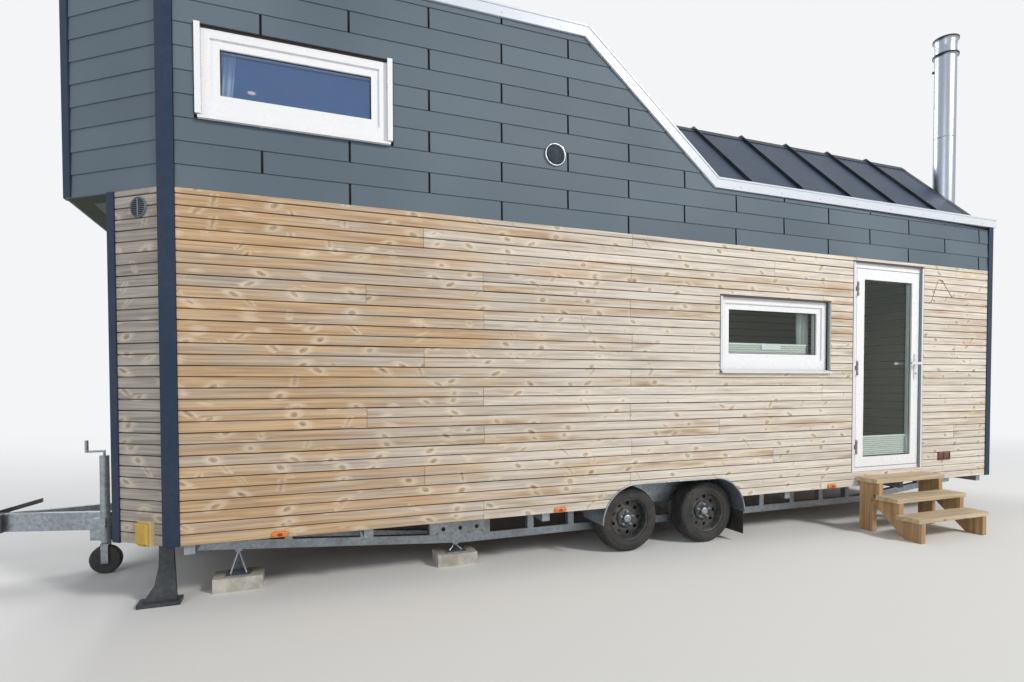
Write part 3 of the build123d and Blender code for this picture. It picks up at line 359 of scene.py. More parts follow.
def concrete():
    shader, spot = finish("prop_block_stone", (186, 182, 172), 0.9)
    pores = spot.cells(120.0).step(0.05, 0.3)
    clouds = spot.noise(7.0, 6.0, 0.65)
    tone = clouds.step(0.3, 0.7).mix((158, 153, 141), (201, 198, 190))
    feed(shader, Base_Color=tone.tinted(pores * 0.25 + 0.76))
    bump(shader, pores * 0.5 + spot.noise(60.0, 5.0) * 0.5, 0.002, 0.7)


rubber("tyre_rubber", (34, 35, 37), 0.35)
rubber("jockey_rubber", (40, 41, 43), 0.4)
rubber("flap_rubber", (28, 29, 30), 0.3)
concrete()

# %% New pine and floor board
def pine(name, dark, light, grain=(3.0, 46.0, 46.0)):
    shader, spot = finish(name, light, 0.55)
    bands = spot.times(grain).noise(1.0, 3.0, 0.5, 0.3)
    hairs = spot.times([share * 6.0 for share in grain]).noise(1.0, 2.0)
    knots = spot.times((4.0, 9.0, 5.0)).cells(1.0).step(0.12, 0.04)
    tone = bands.step(0.3, 0.7).mix(dark, light)
    tone = (knots * 0.7).mix(tone, (120, 78, 44)).tinted(hairs * 0.2 + 0.9)
    feed(shader, Base_Color=tone, Roughness=bands * 0.15 + 0.5)
    bump(shader, bands * 0.4 + hairs * 0.6, 0.0008, 0.5)


pine("fresh_pine", (172, 150, 120), (202, 184, 154), (1.6, 42.0, 42.0))
pine("upright_pine", (152, 118, 84), (186, 154, 114), (42.0, 42.0, 1.8))
pine("underfloor_board", (110, 84, 58), (150, 118, 84))

# %% Woven blinds and curtain
def weave(name, base, threads):
    shader, spot = finish(name, base, 0.85, Sheen_Weight=0.25)
    warp, weft = ((spot.part(index) * threads).math("SINE") for index in (0, 2))
    cloth = warp * weft * 0.5 + 0.5
    tone = (spot.noise(6.0) * 0.2).mix(base, (198, 196, 190))
    feed(shader, Base_Color=tone.tinted(cloth * 0.06 + 0.95))
    bump(shader, cloth, 0.0004, 0.5)


weave("blind_fabric", (226, 225, 219), 2600.0)
weave("curtain_cloth", (232, 232, 230), 1900.0)
print(len(finishes), "finishes in all")

# %% [markdown]
# ## Glass
# A pane is flat, thin and clear, so nothing is bent by it. It is built as a see-through shader mixed
# with a mirror one. A Layer Weight node says how slanted the view is, and at a flat angle the pane
# reflects more. The mirror's tint is a painted reflection: a green grey of the surroundings in the low
# panes, and blue sky in the loft pane, which also gets a painted share of sky at every angle, so its
# least share is higher.

# %% Glass
def pane_glass(name, tint, body, least):
    shader, spot = finish(name, body, 0.02, Metallic=1.0)
    clear = spot.node("ShaderNodeBsdfTransparent", inputs={"Color": colour(tint)})
    slant = spot.node("ShaderNodeLayerWeight", inputs={"Blend": 0.5}, output=1)
    surface((slant ** 5.0 * 0.96 + least).clamp(), clear, Value(spot.tree, shader.outputs[0]))


# The body colour tints the mirror: a painted reflection, green grey on the low panes and sky blue on the
# loft pane.
pane_glass("window_glass", (246, 250, 249), (172, 184, 182), 0.045)
pane_glass("loft_glass", (246, 250, 252), (150, 182, 236), 0.22)

# %% Lamp lens
def lens(name, base, glow):
    shader, spot = finish(name, base, 0.18, Coat_Weight=0.6)
    rays = (spot.part(0) * 900.0).math("SINE") * 0.5 + 0.5
    feed(shader, Base_Color=(rays * 0.35).mix(base, glow))
    bump(shader, rays, 0.0008, 0.6)


lens("lamp_amber", (214, 112, 20), (236, 150, 48))
lens("lamp_red", (140, 30, 16), (178, 52, 26))

# %% [markdown]
# ## Building meshes from outlines
# Most pieces here are outlines carried along a line: a board, a slate, a rib of the roof. A few small
# helpers make those, and each mesh can carry numbers for its material, such as which board a face is on.

# %% Mesh helpers
X, Y, Z = Vector((1, 0, 0)), Vector((0, 1, 0)), Vector((0, 0, 1))


def dressed(name, mesh, material, body="root", slot=None, replaced=()):
    """An object with a finish, on the body that carries it."""
    made = bpy.data.objects.new(name, mesh)
    link(made)
    mesh.materials.append(finishes[material])
    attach(made, body)
    if replaced:
        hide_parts(*replaced)
    return made


class Piece:
    """Points, faces and numbers of one mesh, collected before it is made."""

    def __init__(self, name):
        self.name = name
        self.points, self.faces, self.smooth, self.numbers = [], [], [], {}

    def ring_run(self, rings, closed=True, looped=False, smooth=False, **numbers):
        """Join rings of points, one after the other, and close both ends or join the last to the first."""
        start, count = len(self.points), len(rings[0])
        for ring in rings:
            self.points += [tuple(point) for point in ring]
        for row in range(len(rings) if looped else len(rings) - 1):
            low, high = start + row * count, start + (row + 1) % len(rings) * count
            for k in range(count if closed else count - 1):
                after = (k + 1) % count
                self.faces.append((low + k, low + after, high + after, high + k))
                self.smooth.append(smooth)
        if closed and not looped:
            self.faces.append(tuple(start + k for k in reversed(range(count))))
            self.faces.append(tuple(start + (len(rings) - 1) * count + k for k in range(count)))
            self.smooth += [False, False]
        for key, values in numbers.items():
            values = values if isinstance(values, list) else [values] * (len(self.points) - start)
            self.numbers.setdefault(key, []).extend(values)
        return self

    def make(self, material, **carrier):
        """The object itself, with all its faces turned outwards."""
        mesh = bpy.data.meshes.new(self.name)
        mesh.from_pydata(self.points, [], self.faces)
        mesh.polygons.foreach_set("use_smooth", self.smooth)
        for key, values in self.numbers.items():
            mesh.attributes.new(key, "FLOAT", "POINT").data.foreach_set("value", values)
        turner = bmesh.new()
        turner.from_mesh(mesh)
        bmesh.ops.recalc_face_normals(turner, faces=turner.faces)
        turner.to_mesh(mesh)
        turner.free()
        print(self.name, sum(len(face) - 2 for face in self.faces), "triangles")
        return dressed(self.name, mesh, material, **carrier)


def circle(centre, across, up, radius, count):
    """Points round a circle that is spanned by two directions."""
    turns = [2 * pi * k / count for k in range(count)]
    return [centre + across * (radius * cos(turn)) + up * (radius * sin(turn)) for turn in turns]


def tube(piece, path, radius, count=12):
    """A round bar along a list of points."""
    rings, across = [], None
    for index, point in enumerate(path):
        along = (path[min(index + 1, len(path) - 1)] - path[max(index - 1, 0)]).normalized()
        across = across - along * across.dot(along) if across else along.orthogonal()
        across.normalize()
        rings.append(circle(point, across, along.cross(across), radius, count))
    return piece.ring_run(rings, smooth=True)


def turned(piece, centre, axis, outline, count=48):
    """A round body: an outline of distance along the axis and radius, carried round it."""
    across = axis.orthogonal().normalized()
    up = axis.cross(across)
    rings = [circle(centre + axis * place, across, up, radius, count) for place, radius in outline]
    return piece.ring_run(rings, smooth=True)


def mm(*pairs):
    """An outline that is written in millimetres."""
    return [(first / 1000, second / 1000) for first, second in pairs]


def brick(piece, low, high):
    """A plain block inside a larger piece, between two corners."""
    corners = ((low[1], low[2]), (high[1], low[2]), (high[1], high[2]), (low[1], high[2]))
    return piece.ring_run([[Vector((x, y, z)) for y, z in corners] for x in (low[0], high[0])])


def frame_bars(x0, z0, x1, z1, wide):
    """The four bars of a flat frame, as pairs of corners across and up."""
    return [((x0, z0), (x1, z0 + wide)), ((x0, z1 - wide), (x1, z1)),
            ((x0, z0 + wide), (x0 + wide, z1 - wide)), ((x1 - wide, z0 + wide), (x1, z1 - wide))]

# %% [markdown]
# ## The six walls
# The house is a box with its two front corners cut off. Walking round it with the outside on the right
# gives six walls, and a place on a wall is then a distance along it, a height, and how far it stands out.

# %% The walls
FASCIA = 0.085
WALL_THICK = 0.120
FLAT_END, SLOPE_END = 2.756, 3.951
NOSE_SLOPE = 0.470 / 0.615

near_low, near_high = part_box("near_wall_front")
CORNER = near_low.xy
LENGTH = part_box("near_wall_rear")[1].x - CORNER.x
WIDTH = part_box("far_wall_lower")[1].y - CORNER.y
SKIRT_Z, SLATE_Z = near_low.z, near_high.z
TOP_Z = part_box("side_fascias")[1].z
ROOF_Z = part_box("rear_ledge_roof")[1].z
EAVE_Z = ROOF_Z + 0.006
SLOPE_TURN = atan2(TOP_Z - EAVE_Z, SLOPE_END - FLAT_END)


def at(x, y, z=0.0):
    """A place given from the near front corner of the house, on the ground."""
    return Vector((CORNER.x + x, CORNER.y + y, z))


class Wall:
    """A wall as a direction along it and a direction out of it."""

    def __init__(self, start, end):
        self.start = start
        self.along = (end - start).normalized()
        self.length = (end - start).length
        self.out = Vector((self.along.y, -self.along.x, 0))

    def place(self, along, out, z):
        return self.start + self.along * along + self.out * out + Z * z


def outline_walls(nose_node):
    run = CORNER.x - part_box(nose_node)[0].x
    inset = run * NOSE_SLOPE
    corners = [at(-run, inset), at(0, 0), at(LENGTH, 0), at(LENGTH, WIDTH), at(0, WIDTH),
               at(-run, WIDTH - inset)]
    names = ("near_nose", "near", "rear", "far", "far_nose", "front")
    return {name: Wall(corners[k], corners[(k + 1) % 6]) for k, name in enumerate(names)}


lower = outline_walls("nose_wall_lower")
upper = outline_walls("nose_wall_upper")
print("house", round(LENGTH, 3), "by", round(WIDTH, 3), "slates from", round(SLATE_Z, 3))

# %% [markdown]
# ## Cladding
# Boards and slates are both an outline, seen from the end, that is carried along the wall. Round a
# window or under the sloping roof edge the row is cut into bands of height, and each band is carried
# only where there is wall. The ends are worked out for each height, so that they can slope or curve.

# %% Cladding helper
CUT_EDGE = 0.002
LEAST_LENGTH = 0.004
TRIM_LEG = 0.045
BESIDE_TRIM = TRIM_LEG + 0.002


def clipped(outline, low, high):
    """The part of an outline of (height, out) points that lies between two heights."""
    kept = []
    for (z0, w0), (z1, w1) in zip(outline, outline[1:]):
        if z1 <= low or z0 >= high:
            continue
        for z in (max(z0, low), min(z1, high)):
            share = (z - z0) / (z1 - z0) if z1 > z0 else 0.0
            point = (z, w0 + share * (w1 - w0))
            if not kept or kept[-1] != point:
                kept.append(point)
    return kept


def row_bands(low, high, holes):
    """Cut a row into bands of height at the edges of the holes that it crosses."""
    edges = [z for mark in holes for z in (mark["low"], mark["high"]) if low < z < high]
    cuts = sorted({low, high, *edges})
    return list(zip(cuts, cuts[1:]))


def free_spans(left, right, low, high, holes):
    """The stretches of a band that no hole takes, as pairs of end functions of height."""
    spans = [(left, right)]
    middle = (low + high) / 2
    for mark in holes:
        if not mark["low"] < middle < mark["high"]:
            continue
        cut = []
        for start, end in spans:
            hole_start, hole_end = mark["start"], mark["end"]
            if hole_end(middle) <= start(middle) or hole_start(middle) >= end(middle):
                cut.append((start, end))
                continue
            if hole_start(middle) > start(middle) + LEAST_LENGTH:
                cut.append((start, hole_start))
            if hole_end(middle) < end(middle) - LEAST_LENGTH:
                cut.append((hole_end, end))
        spans = cut
    return spans


def fixed(value):
    return lambda z: value


def carry(piece, wall, kind, outline, start, end, middle_z, numbers):
    """One length of board: its outline carried along the wall between two ends."""
    middle = outline[len(outline) // 2][0]
    length = end(middle) - start(middle)
    stations = max(2, int(length / kind["step"]) + 2)
    sliver = min(CUT_EDGE / length, 0.2)
    shares = [0.0, sliver, *[k / (stations - 1) for k in range(1, stations - 1)], 1.0 - sliver, 1.0]
    loop = [(outline[0][0], 0.0), *outline, (outline[-1][0], 0.0)]
    rings, values = [], {key: [] for key in ("along", "up", "hollow", "cut")}
    for share in shares:
        ring = []
        for z, out in loop:
            along = start(z) + share * (end(z) - start(z))
            ring.append(wall.place(along, out, z + kind["wave"](along, z, numbers["number"])))
            values["along"].append(along + numbers["number"] * 3.0)
            values["up"].append(z - middle_z)
            # These marks tell the finishes where to paint shade: faces set back towards the wall, and the
            # cut ends.
            values["hollow"].append(1.0 if out < kind["hollow"] else 0.0)
            values["cut"].append(1.0 if share in (0.0, 1.0) else 0.0)
        rings.append(ring)
    piece.ring_run(rings, **values, **numbers)


def clad(piece, wall, kind, low, high, holes=(), left=None, right=None, joints=None):
    """Cover a wall from low to high with rows, whose lengths meet at the joints."""
    left = left or fixed(BESIDE_TRIM)
    right = right or fixed(wall.length - BESIDE_TRIM)
    joints = joints or kind["joints"]
    before, after = kind["gaps"]
    for row in range(int((high - low) / kind["row"] + 0.999)):
        base = low + row * kind["row"]
        outline = clipped([(base + z, out) for z, out in kind["shape"]], base, high)
        if len(outline) < 2:
            continue
        bands = row_bands(outline[0][0], outline[-1][0], holes)
        ends = [left, *[fixed(joint) for joint in joints(row, left(base), right(base))], right]
        for index, (start, end) in enumerate(zip(ends, ends[1:])):
            numbers = {"number": kind["chance"].random(), "tone": kind["chance"].random()}
            start = fixed(start(base) + before) if index else start
            end = fixed(end(base) - after) if index < len(ends) - 2 else end
            for band in bands:
                shape = clipped(outline, *band)
                for first, last in free_spans(start, end, *band, holes):
                    if len(shape) > 1 and last(band[0]) - first(band[0]) > LEAST_LENGTH:
                        carry(piece, wall, kind, shape, first, last, base + kind["middle"], numbers)

# %% [markdown]
# ## The boards of the lower storey
# A board is 134 mm high with two strips. Its sawn edges aren't quite straight, so the height of each
# edge wanders by a millimetre or two. Boards meet end to end at the uprights of the frame, in a pattern
# that comes back every six rows.

# %% Boards
BOARD = 0.134
BOARD_OUT = 0.014
GROOVE = 0.0045
BOARD_SHAPE = [(0.0022, 0.0), (0.0028, 0.0095), (0.0054, BOARD_OUT), (0.0622, BOARD_OUT),
               (0.0648, 0.0095), (0.0656, GROOVE), (0.0694, GROOVE), (0.0702, 0.0095),
               (0.0724, BOARD_OUT), (0.1290, BOARD_OUT), (0.1314, 0.0095), (0.1320, 0.0)]
JOINTS = [[1.930, 5.120], [3.130], [1.510, 4.560], [3.140, 6.900], [1.935, 3.980], [1.130, 3.125]]


def board_wave(along, z, seed):
    """How far an edge wanders up or down at one place."""
    return 0.0014 * noise.noise(Vector((along * 2.1, round(z / (BOARD / 4)) * 3.7, seed * 9.1)))


def board_joints(row, start, end):
    return JOINTS[row % len(JOINTS)]


def no_joints(row, start, end):
    return []


BOARDS = {"row": BOARD, "shape": BOARD_SHAPE, "middle": BOARD / 2, "hollow": 0.006, "wave": board_wave,
          "joints": board_joints, "gaps": (0.0012, 0.0), "step": 0.16, "chance": Random(11)}

# %% Holes in the near and far walls
SHADOW_GAP = 0.005
AXLE_Z = 0.262
guard_low, guard_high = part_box("mudguards")
ARCH_START, ARCH_END = guard_low.x - CORNER.x, guard_high.x - CORNER.x
ARCH_R = guard_high.z - AXLE_Z


def frame_hole(node, sides, above, below):
    """The stretch of near wall that a frame and its trims take, with a small shadow gap round them."""
    low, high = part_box(node)
    return {"start": fixed(low.x - CORNER.x - sides - SHADOW_GAP), "low": low.z - below,
            "end": fixed(high.x - CORNER.x + sides + SHADOW_GAP), "high": high.z + above + SHADOW_GAP}


def arch_inset(z):
    """How far the rounded ends of the space over the wheels lean inwards at a height."""
    rise = max(0.0, z - AXLE_Z)
    return ARCH_R - sqrt(max(0.0, ARCH_R ** 2 - rise ** 2))


def mirror_hole(source):
    """The same opening on the far wall, which runs the other way."""
    return {**source, "start": lambda z: LENGTH - source["end"](z),
            "end": lambda z: LENGTH - source["start"](z)}


near_arch = {"start": lambda z: ARCH_START + arch_inset(z) - 0.004,
             "end": lambda z: ARCH_END - arch_inset(z) + 0.004, "low": 0.0, "high": guard_high.z}
low_window = frame_hole("low_window_frame", sides=0.022, above=0.010, below=0.030)
loft_window = frame_hole("loft_window_frame", sides=0.032, above=0.012, below=0.030)
doorway = frame_hole("door_frame", sides=0.022, above=0.010, below=0.0)

boards = Piece("boards_near")
clad(boards, lower["near"], BOARDS, SKIRT_Z, SLATE_Z, [low_window, doorway, near_arch])
boards.make("weathered_boards")

# %% Boards of the other sides
boards = Piece("boards_far")
clad(boards, lower["far"], BOARDS, SKIRT_Z, SLATE_Z, [mirror_hole(low_window), mirror_hole(near_arch)],
     joints=lambda *place: [LENGTH - joint for joint in reversed(board_joints(*place))])
boards.make("weathered_boards")

boards = Piece("boards_ends")
for name in ("near_nose", "front", "far_nose", "rear"):
    clad(boards, lower[name], BOARDS, SKIRT_Z, SLATE_Z, joints=no_joints)
boards.make("weathered_boards")

# %% [markdown]
# ## The slates of the upper storey
# Each row of slates laps over the one below, so its lower edge stands out and throws a thin shadow.
# The joints fall in the middle of the slates in the next row, and the cut ends of the slates are
# painted near black as painted shade, so the joints look black.

# %% Slates on the walls
SLATE_ROW = 0.137
SLATE_LONG = 1.036
SLATE_JOINT = 0.013
JOINT_CLEAR = 0.03
SLATE_SHAPE = [(0.0, 0.0), (0.0, 0.0125), (0.0010, 0.0135), (SLATE_ROW - 0.0015, 0.0075),
               (SLATE_ROW - 0.0010, 0.0)]


def slate_joints(row, start, end):
    shift = SLATE_LONG / 2 if row % 2 else SLATE_LONG
    marks = [shift + k * SLATE_LONG for k in range(-1, 12)]
    return [mark for mark in marks if start + JOINT_CLEAR < mark < end - JOINT_CLEAR]


SLATES = {"row": SLATE_ROW, "shape": SLATE_SHAPE, "middle": 0.0, "hollow": -1.0, "joints": slate_joints,
          "wave": lambda along, z, seed: 0.0, "gaps": (SLATE_JOINT / 2, SLATE_JOINT / 2), "step": 9.0,
          "chance": Random(5)}


def roof_edge(z):
    """How far along the near wall the slates reach at a height, up to the white edging."""
    if z < EAVE_Z - FASCIA:
        return LENGTH - BESIDE_TRIM
    rise = -FASCIA - (z - TOP_Z) * cos(SLOPE_TURN)
    return FLAT_END + rise / sin(SLOPE_TURN)


high_edge, low_edge = TOP_Z - FASCIA, EAVE_Z - FASCIA
# A hole beyond the wall takes nothing away, but it cuts the rows where the roof edge starts to slope.
eave_step = {"start": fixed(LENGTH * 2), "end": fixed(LENGTH * 2 + 1), "low": 0.0, "high": low_edge}

slates_near = Piece("slates_near")
clad(slates_near, lower["near"], SLATES, SLATE_Z, high_edge, [loft_window, eave_step], right=roof_edge)
slates_near.make("anthracite_slate")

# %% Slates of the other sides
slates_far = Piece("slates_far")
clad(slates_far, lower["far"], SLATES, SLATE_Z, high_edge, [mirror_hole(loft_window), eave_step],
     left=lambda z: LENGTH - roof_edge(z))
slates_far.make("anthracite_slate")

slates_ends = Piece("slates_ends")
for name in ("near_nose", "front", "far_nose"):
    joints = slate_joints if name == "front" else no_joints
    clad(slates_ends, upper[name], SLATES, SLATE_Z, high_edge, joints=joints)
clad(slates_ends, lower["rear"], SLATES, SLATE_Z, low_edge)
slates_ends.make("anthracite_slate")

# %% [markdown]
# ## Finishes of the construction model
# The pieces that already have the right shape only need their finish. The walls behind the cladding are
# dark brown outside, a dark backing that is also painted shade where the gaps show them, and pale boards
# inside, where a window shows them.

# %% Inner and outer face of the walls
LINING_BOARD = 0.096


def two_faced_wall():
    """Dark behind the cladding, as a backing and as painted shade in the gaps, green under the nose, and
    pale grooved boards on the inside.
    """
    shader, spot = finish("wall_panel", (40, 32, 26), 0.85)
    x, y, z = (spot.part(index) for index in range(3))
    inside = (x - CORNER.x).step(0.0, 0.004)
    for depth in (y - CORNER.y, CORNER.y + WIDTH - y, CORNER.x + LENGTH - x):
        inside = inside * depth.step(WALL_THICK - 0.015, WALL_THICK - 0.008)
    grooves = (z * (2 * pi / LINING_BOARD)).math("SINE").step(-0.99, -0.93)
    panel = grooves.mix((150, 126, 98), (216, 196, 166))
    panel = panel.tinted(spot.times((2.0, 2.0, 40.0)).noise(1.0) * 0.3 + 0.85)
    nose = (x - CORNER.x).step(-0.004, -0.02)
    low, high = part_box("door_frame")
    reveal = x.step(low.x - 0.02, low.x - 0.01) * x.step(high.x + 0.02, high.x + 0.01)
    reveal = reveal * z.step(high.z + 0.02, high.z + 0.01)
    # Dark brown behind the cladding: a dark backing, and painted shade in the gaps between the boards and
    # slates.
    hidden = nose.mix((34, 27, 22), (50, 62, 50))
    hidden = reveal.mix(hidden, (150, 153, 160))
    feed(shader, Base_Color=inside.mix(hidden, panel))
    bump(shader, grooves, 0.002, 0.5)


def lining_metal():
    """Pale coated sheet round an opening. A painted shadow darkens its top lining over the low window and
    the door, painted shade darkens faces that look along -x, and the front of the leg right of the low
    window is grey as painted shade.
    """
    shader, spot = finish("lining_metal", (214, 219, 218), 0.4)
    x, z = spot.part(0), spot.part(2)
    window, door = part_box("low_window_frame"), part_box("door_frame")
    before_door = x.step(door[0].x - 0.05, door[0].x - 0.06)
    # A dark band on the lining above the low window and the door: a painted shadow line.
    painted_head_shadow = z.step(window[1].z - 0.002, window[1].z) * before_door + z.step(door[1].z - 0.002, door[1].z)
    leg = x.step(window[1].x - 0.002, window[1].x) * x.step(window[1].x + 0.018, window[1].x + 0.017)
    # Faces that look along -x are darker: painted shade on the side turned from the key lamp.
    inner = spot.node("ShaderNodeNewGeometry", output="Normal").part(0).step(-0.4, -0.8)
    tone = inner.mix((214, 219, 218), (132, 139, 150))
    # The front of the leg right of the low window turns grey: painted shade standing for its shaded return.
    painted_leg_shade = leg * before_door * z.step(window[0].z - 0.004, window[0].z)
    tone = painted_head_shadow.clamp().mix(painted_leg_shade.mix(tone, (112, 127, 130)), (74, 66, 60))
    feed(shader, Base_Color=tone.tinted(spot.noise(20.0, 3.0) * 0.12 + 0.94),
         Roughness=spot.noise(60.0) * 0.15 + 0.35)


lining_metal()
two_faced_wall()

# %% A finish for every node
WHEEL_NODES = ("near_front", "near_rear", "far_front", "far_rear")
carried = {
    "wall_panel": ["near_wall_front", "near_wall_rear", "door_wall_infill", "far_wall_lower", "rear_wall",
                   "nose_wall_lower", "near_wall_upper", "far_wall_upper", "nose_wall_upper"],
    "underfloor_board": ["floor"],
    "soffit_paint": ["nose_soffit"],
    "roof_metal": ["loft_roof_flat", "loft_roof_slope", "rear_ledge_roof"],
    "seam_roof_metal": ["rear_roof_slopes", "rear_roof_top", "roof_end_panel"],
    "white_edging": ["side_fascias", "end_fascias"],
    "corner_trim_metal": ["corner_trims"],
    "lining_metal": ["metal_linings"],
    "white_frames": ["loft_window_trims", "loft_window_frame", "low_window_frame", "far_window_frames",
                     "door_frame", "door_leaf"],
    "loft_glass": ["loft_window_glass"],
    "window_glass": ["low_window_glass", "far_window_glass", "door_glass"],
    "blind_fabric": ["door_blind"],
    "handle_silver": ["door_handle"],
    "vent_steel": ["wall_vents"],
    "flue_steel": ["flue"],
    "socket_plastic": ["socket_box"],
    "lamp_amber": ["marker_lamps"],
    "galvanised_steel": ["side_beams", "cross_members", "drawbar", "axles", "mudguards", "prop_stands",
                         "jockey_stand", "jockey_fork"],
    "coupling_black": ["overrun_coupling"],
    "jockey_rubber": ["jockey_wheel"],
    "tyre_rubber": [name + "_tyre" for name in WHEEL_NODES],
    "rim_steel": [name + "_rim" for name in WHEEL_NODES],
    "flap_rubber": ["mud_flaps"],
    "prop_block_stone": ["prop_blocks"],
    "leg_steel": ["corner_legs"],
    "fresh_pine": ["step_treads"],
    "upright_pine": ["step_frame"],
}
for name, members in carried.items():
    for member in members:
        materials = nodes[member].data.materials
        materials.clear()
        materials.append(finishes[name])
print(sum(len(members) for members in carried.values()), "nodes have a finish")

# %% [markdown]
# ## The raised roof
# The sheets of the raised roof are joined by standing seams, thin ribs that run up the slope, over the
# top and down the other side. Each rib is four lines over the roof, two on the sheet and two above it.

# %% Standing seams
SEAMS = [4.300 + 0.575 * k for k in range(5)]
SEAM_HIGH, SEAM_WIDE, SEAM_SUNK = 0.026, 0.012, 0.004
ROOF_RUN, ROOF_RISE = 0.750, 0.755
ROOF_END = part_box("roof_end_panel")[1].x - CORNER.x
RIDGE_Z = EAVE_Z + ROOF_RISE


def roof_ring(x, lift):
    """The line over the raised roof at one place, lifted off the sheet."""
    slope = atan2(ROOF_RISE, ROOF_RUN)
    corner = ROOF_RUN - lift * tan(slope / 2)
    foot = lift * 0.9 - lift / sin(slope)
    half = [(foot, EAVE_Z + lift * 0.9), (corner, RIDGE_Z + lift)]
    return [at(x, y, z) for y, z in half] + [at(x, WIDTH - y, z) for y, z in reversed(half)]


seams = Piece("roof_seams")
for x in SEAMS:
    near, far = x - SEAM_WIDE / 2, x + SEAM_WIDE / 2
    lines = [roof_ring(near, -SEAM_SUNK), roof_ring(near, SEAM_HIGH), roof_ring(far, SEAM_HIGH),
             roof_ring(far, -SEAM_SUNK)]
    seams.ring_run([list(section) for section in zip(*lines)])
seams.make("dark_flashing", slot="seam_roof_metal")

# %% [markdown]
# ## Sheet metal on the roof edges
# Folded strips cover the two long corners of the raised roof and its rear end, and a thin lip runs along
# the top of the white edging, which is held by a row of screws. Each strip is a small outline carried
# along the edge that it covers, so it always lies on its sheet.

# %% Roof flashings
FLASH_LEG, FLASH_THICK = 0.07, 0.006


def strip(piece, start, end, inner, leg_a, leg_b):
    """A folded strip on an edge from start to end, with one leg along each of two directions."""
    lift = -inner * FLASH_THICK
    section = (leg_a, leg_a + lift, lift, leg_b + lift, leg_b, Vector())
    piece.ring_run([[place + point for point in section] for place in (start, end)])


flashings = Piece("roof_flashings")
end_x, ridge_lift = ROOF_END + 0.003, RIDGE_Z + 0.002
ridge_x = FLAT_END + (TOP_Z - RIDGE_Z) / (TOP_Z - EAVE_Z) * (SLOPE_END - FLAT_END) + 0.02
for sign, ridge_y, foot_y in ((1.0, ROOF_RUN, 0.02), (-1.0, WIDTH - ROOF_RUN, WIDTH - 0.02)):
    down = Vector((0, -ROOF_RUN * sign, -ROOF_RISE)).normalized()
    level = Y * sign
    strip(flashings, at(ridge_x, ridge_y, ridge_lift), at(ROOF_END + 0.004, ridge_y, ridge_lift),
          (down + level).normalized(), down * FLASH_LEG, level * FLASH_LEG)
    strip(flashings, at(end_x, foot_y, EAVE_Z + 0.022), at(end_x, ridge_y, ridge_lift),
          Vector((-1, 0, -0.6)), X * -FLASH_LEG, Z * -0.035 + level * 0.03)
strip(flashings, at(end_x, ROOF_RUN, ridge_lift), at(end_x, WIDTH - ROOF_RUN, ridge_lift),
      Vector((-0.7, 0, -0.7)), X * -FLASH_LEG, Z * -0.05)
flashings.make("dark_flashing", slot="seam_roof_metal")

# %% Lip and screws of the white edging
EDGE_OUT = 0.028
LIP_OUT, LIP_HIGH = 0.005, 0.014
SCREW_SPACING, SCREW_DOWN = 0.42, 0.058


def upward(along):
    """The direction in the side's plane that is square to an edge."""
    return Vector((-along.z, 0, along.x))


lips, screws = Piece("edging_lips"), Piece("edging_screws")
for out, y in ((-Y, -EDGE_OUT), (Y, WIDTH + EDGE_OUT)):
    path = [at(x, y, z) for x, z in ((0.0, TOP_Z), (FLAT_END, TOP_Z), (SLOPE_END, EAVE_Z),
                                     (LENGTH + 0.058, EAVE_Z))]
    runs = [(end - start).normalized() for start, end in zip(path, path[1:])]
    rings = []
    for point, before, after in zip(path, [Vector(), *runs], [*runs, Vector()]):
        drop = upward((before + after).normalized()) * LIP_HIGH
        rings.append([point, point + out * LIP_OUT, point + out * LIP_OUT - drop, point - drop])
    lips.ring_run(rings)
    for start, end, along in zip(path, path[1:], runs):
        count = max(2, int((end - start).length / SCREW_SPACING))
        for k in range(count):
            foot = start + (end - start) * ((k + 0.5) / count) - upward(along) * SCREW_DOWN
            turned(screws, foot, out, mm((0, 5.5), (1.5, 5.2), (2.8, 3)), 10)
lips.make("white_edging")
screws.make("handle_steel", slot="white_edging")

# %% [markdown]
# ## The flue
# The pipe is polished stainless steel, tinted blue as a painted reflection of the sky. Two thin flanges
# near the top stand out, and their rims are painted black as a painted reflection of dark ground where
# they turn the light away, and a cone sheds the rain where the pipe passes the roof. The pipe is one
# outline turned round the axis, down into the open top, and it takes the place of the faceted pipe of
# the model. Long faces get an extra ring near each end, so that smooth shading doesn't smear a corner
# over them.

# %% Flue
FLUE_R, FLANGE_R, EDGE = 0.100, 0.118, 0.004
flue_low, flue_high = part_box("flue")
flue_axis = ((flue_low + flue_high) / 2).xy.to_3d()
flue_top = flue_high.z
ABOVE_ROOF = mm((0, 0), (0.5, 24), (6, 24), (60, 3), (75, 3), (76, 0))
PIPE_SEAM = [(3.985, 0.0), (3.986, 0.0015), (3.992, 0.0015), (3.993, 0.0)]
BELOW_TOP = mm((200, 0), (192, 4), (186, 16), (182, 18), (174, 18), (170, 14), (166, 2), (90, -1),
               (30, 5), (18, 16), (14, 18), (5, 18), (0, 13), (2, -10), (30, -22), (500, -25))
flue_outline = [(z, FLUE_R + out) for z, out in (
    (flue_low.z, 0.0), *[(ROOF_Z + up, out) for up, out in ABOVE_ROOF], *PIPE_SEAM,
    *[(flue_top - down, out) for down, out in BELOW_TOP])]
crisp = [flue_outline[0]]
for (z0, r0), (z1, r1) in zip(flue_outline, flue_outline[1:]):
    run = sqrt((z1 - z0) ** 2 + (r1 - r0) ** 2)
    if run > 5 * EDGE:
        crisp += [(z0 + (z1 - z0) * share, r0 + (r1 - r0) * share)
                  for share in (EDGE / run, 1.0 - EDGE / run)]
    crisp.append((z1, r1))
turned(Piece("flue_pipe"), flue_axis, Z, crisp, 96).make("flue_steel", replaced=("flue",))

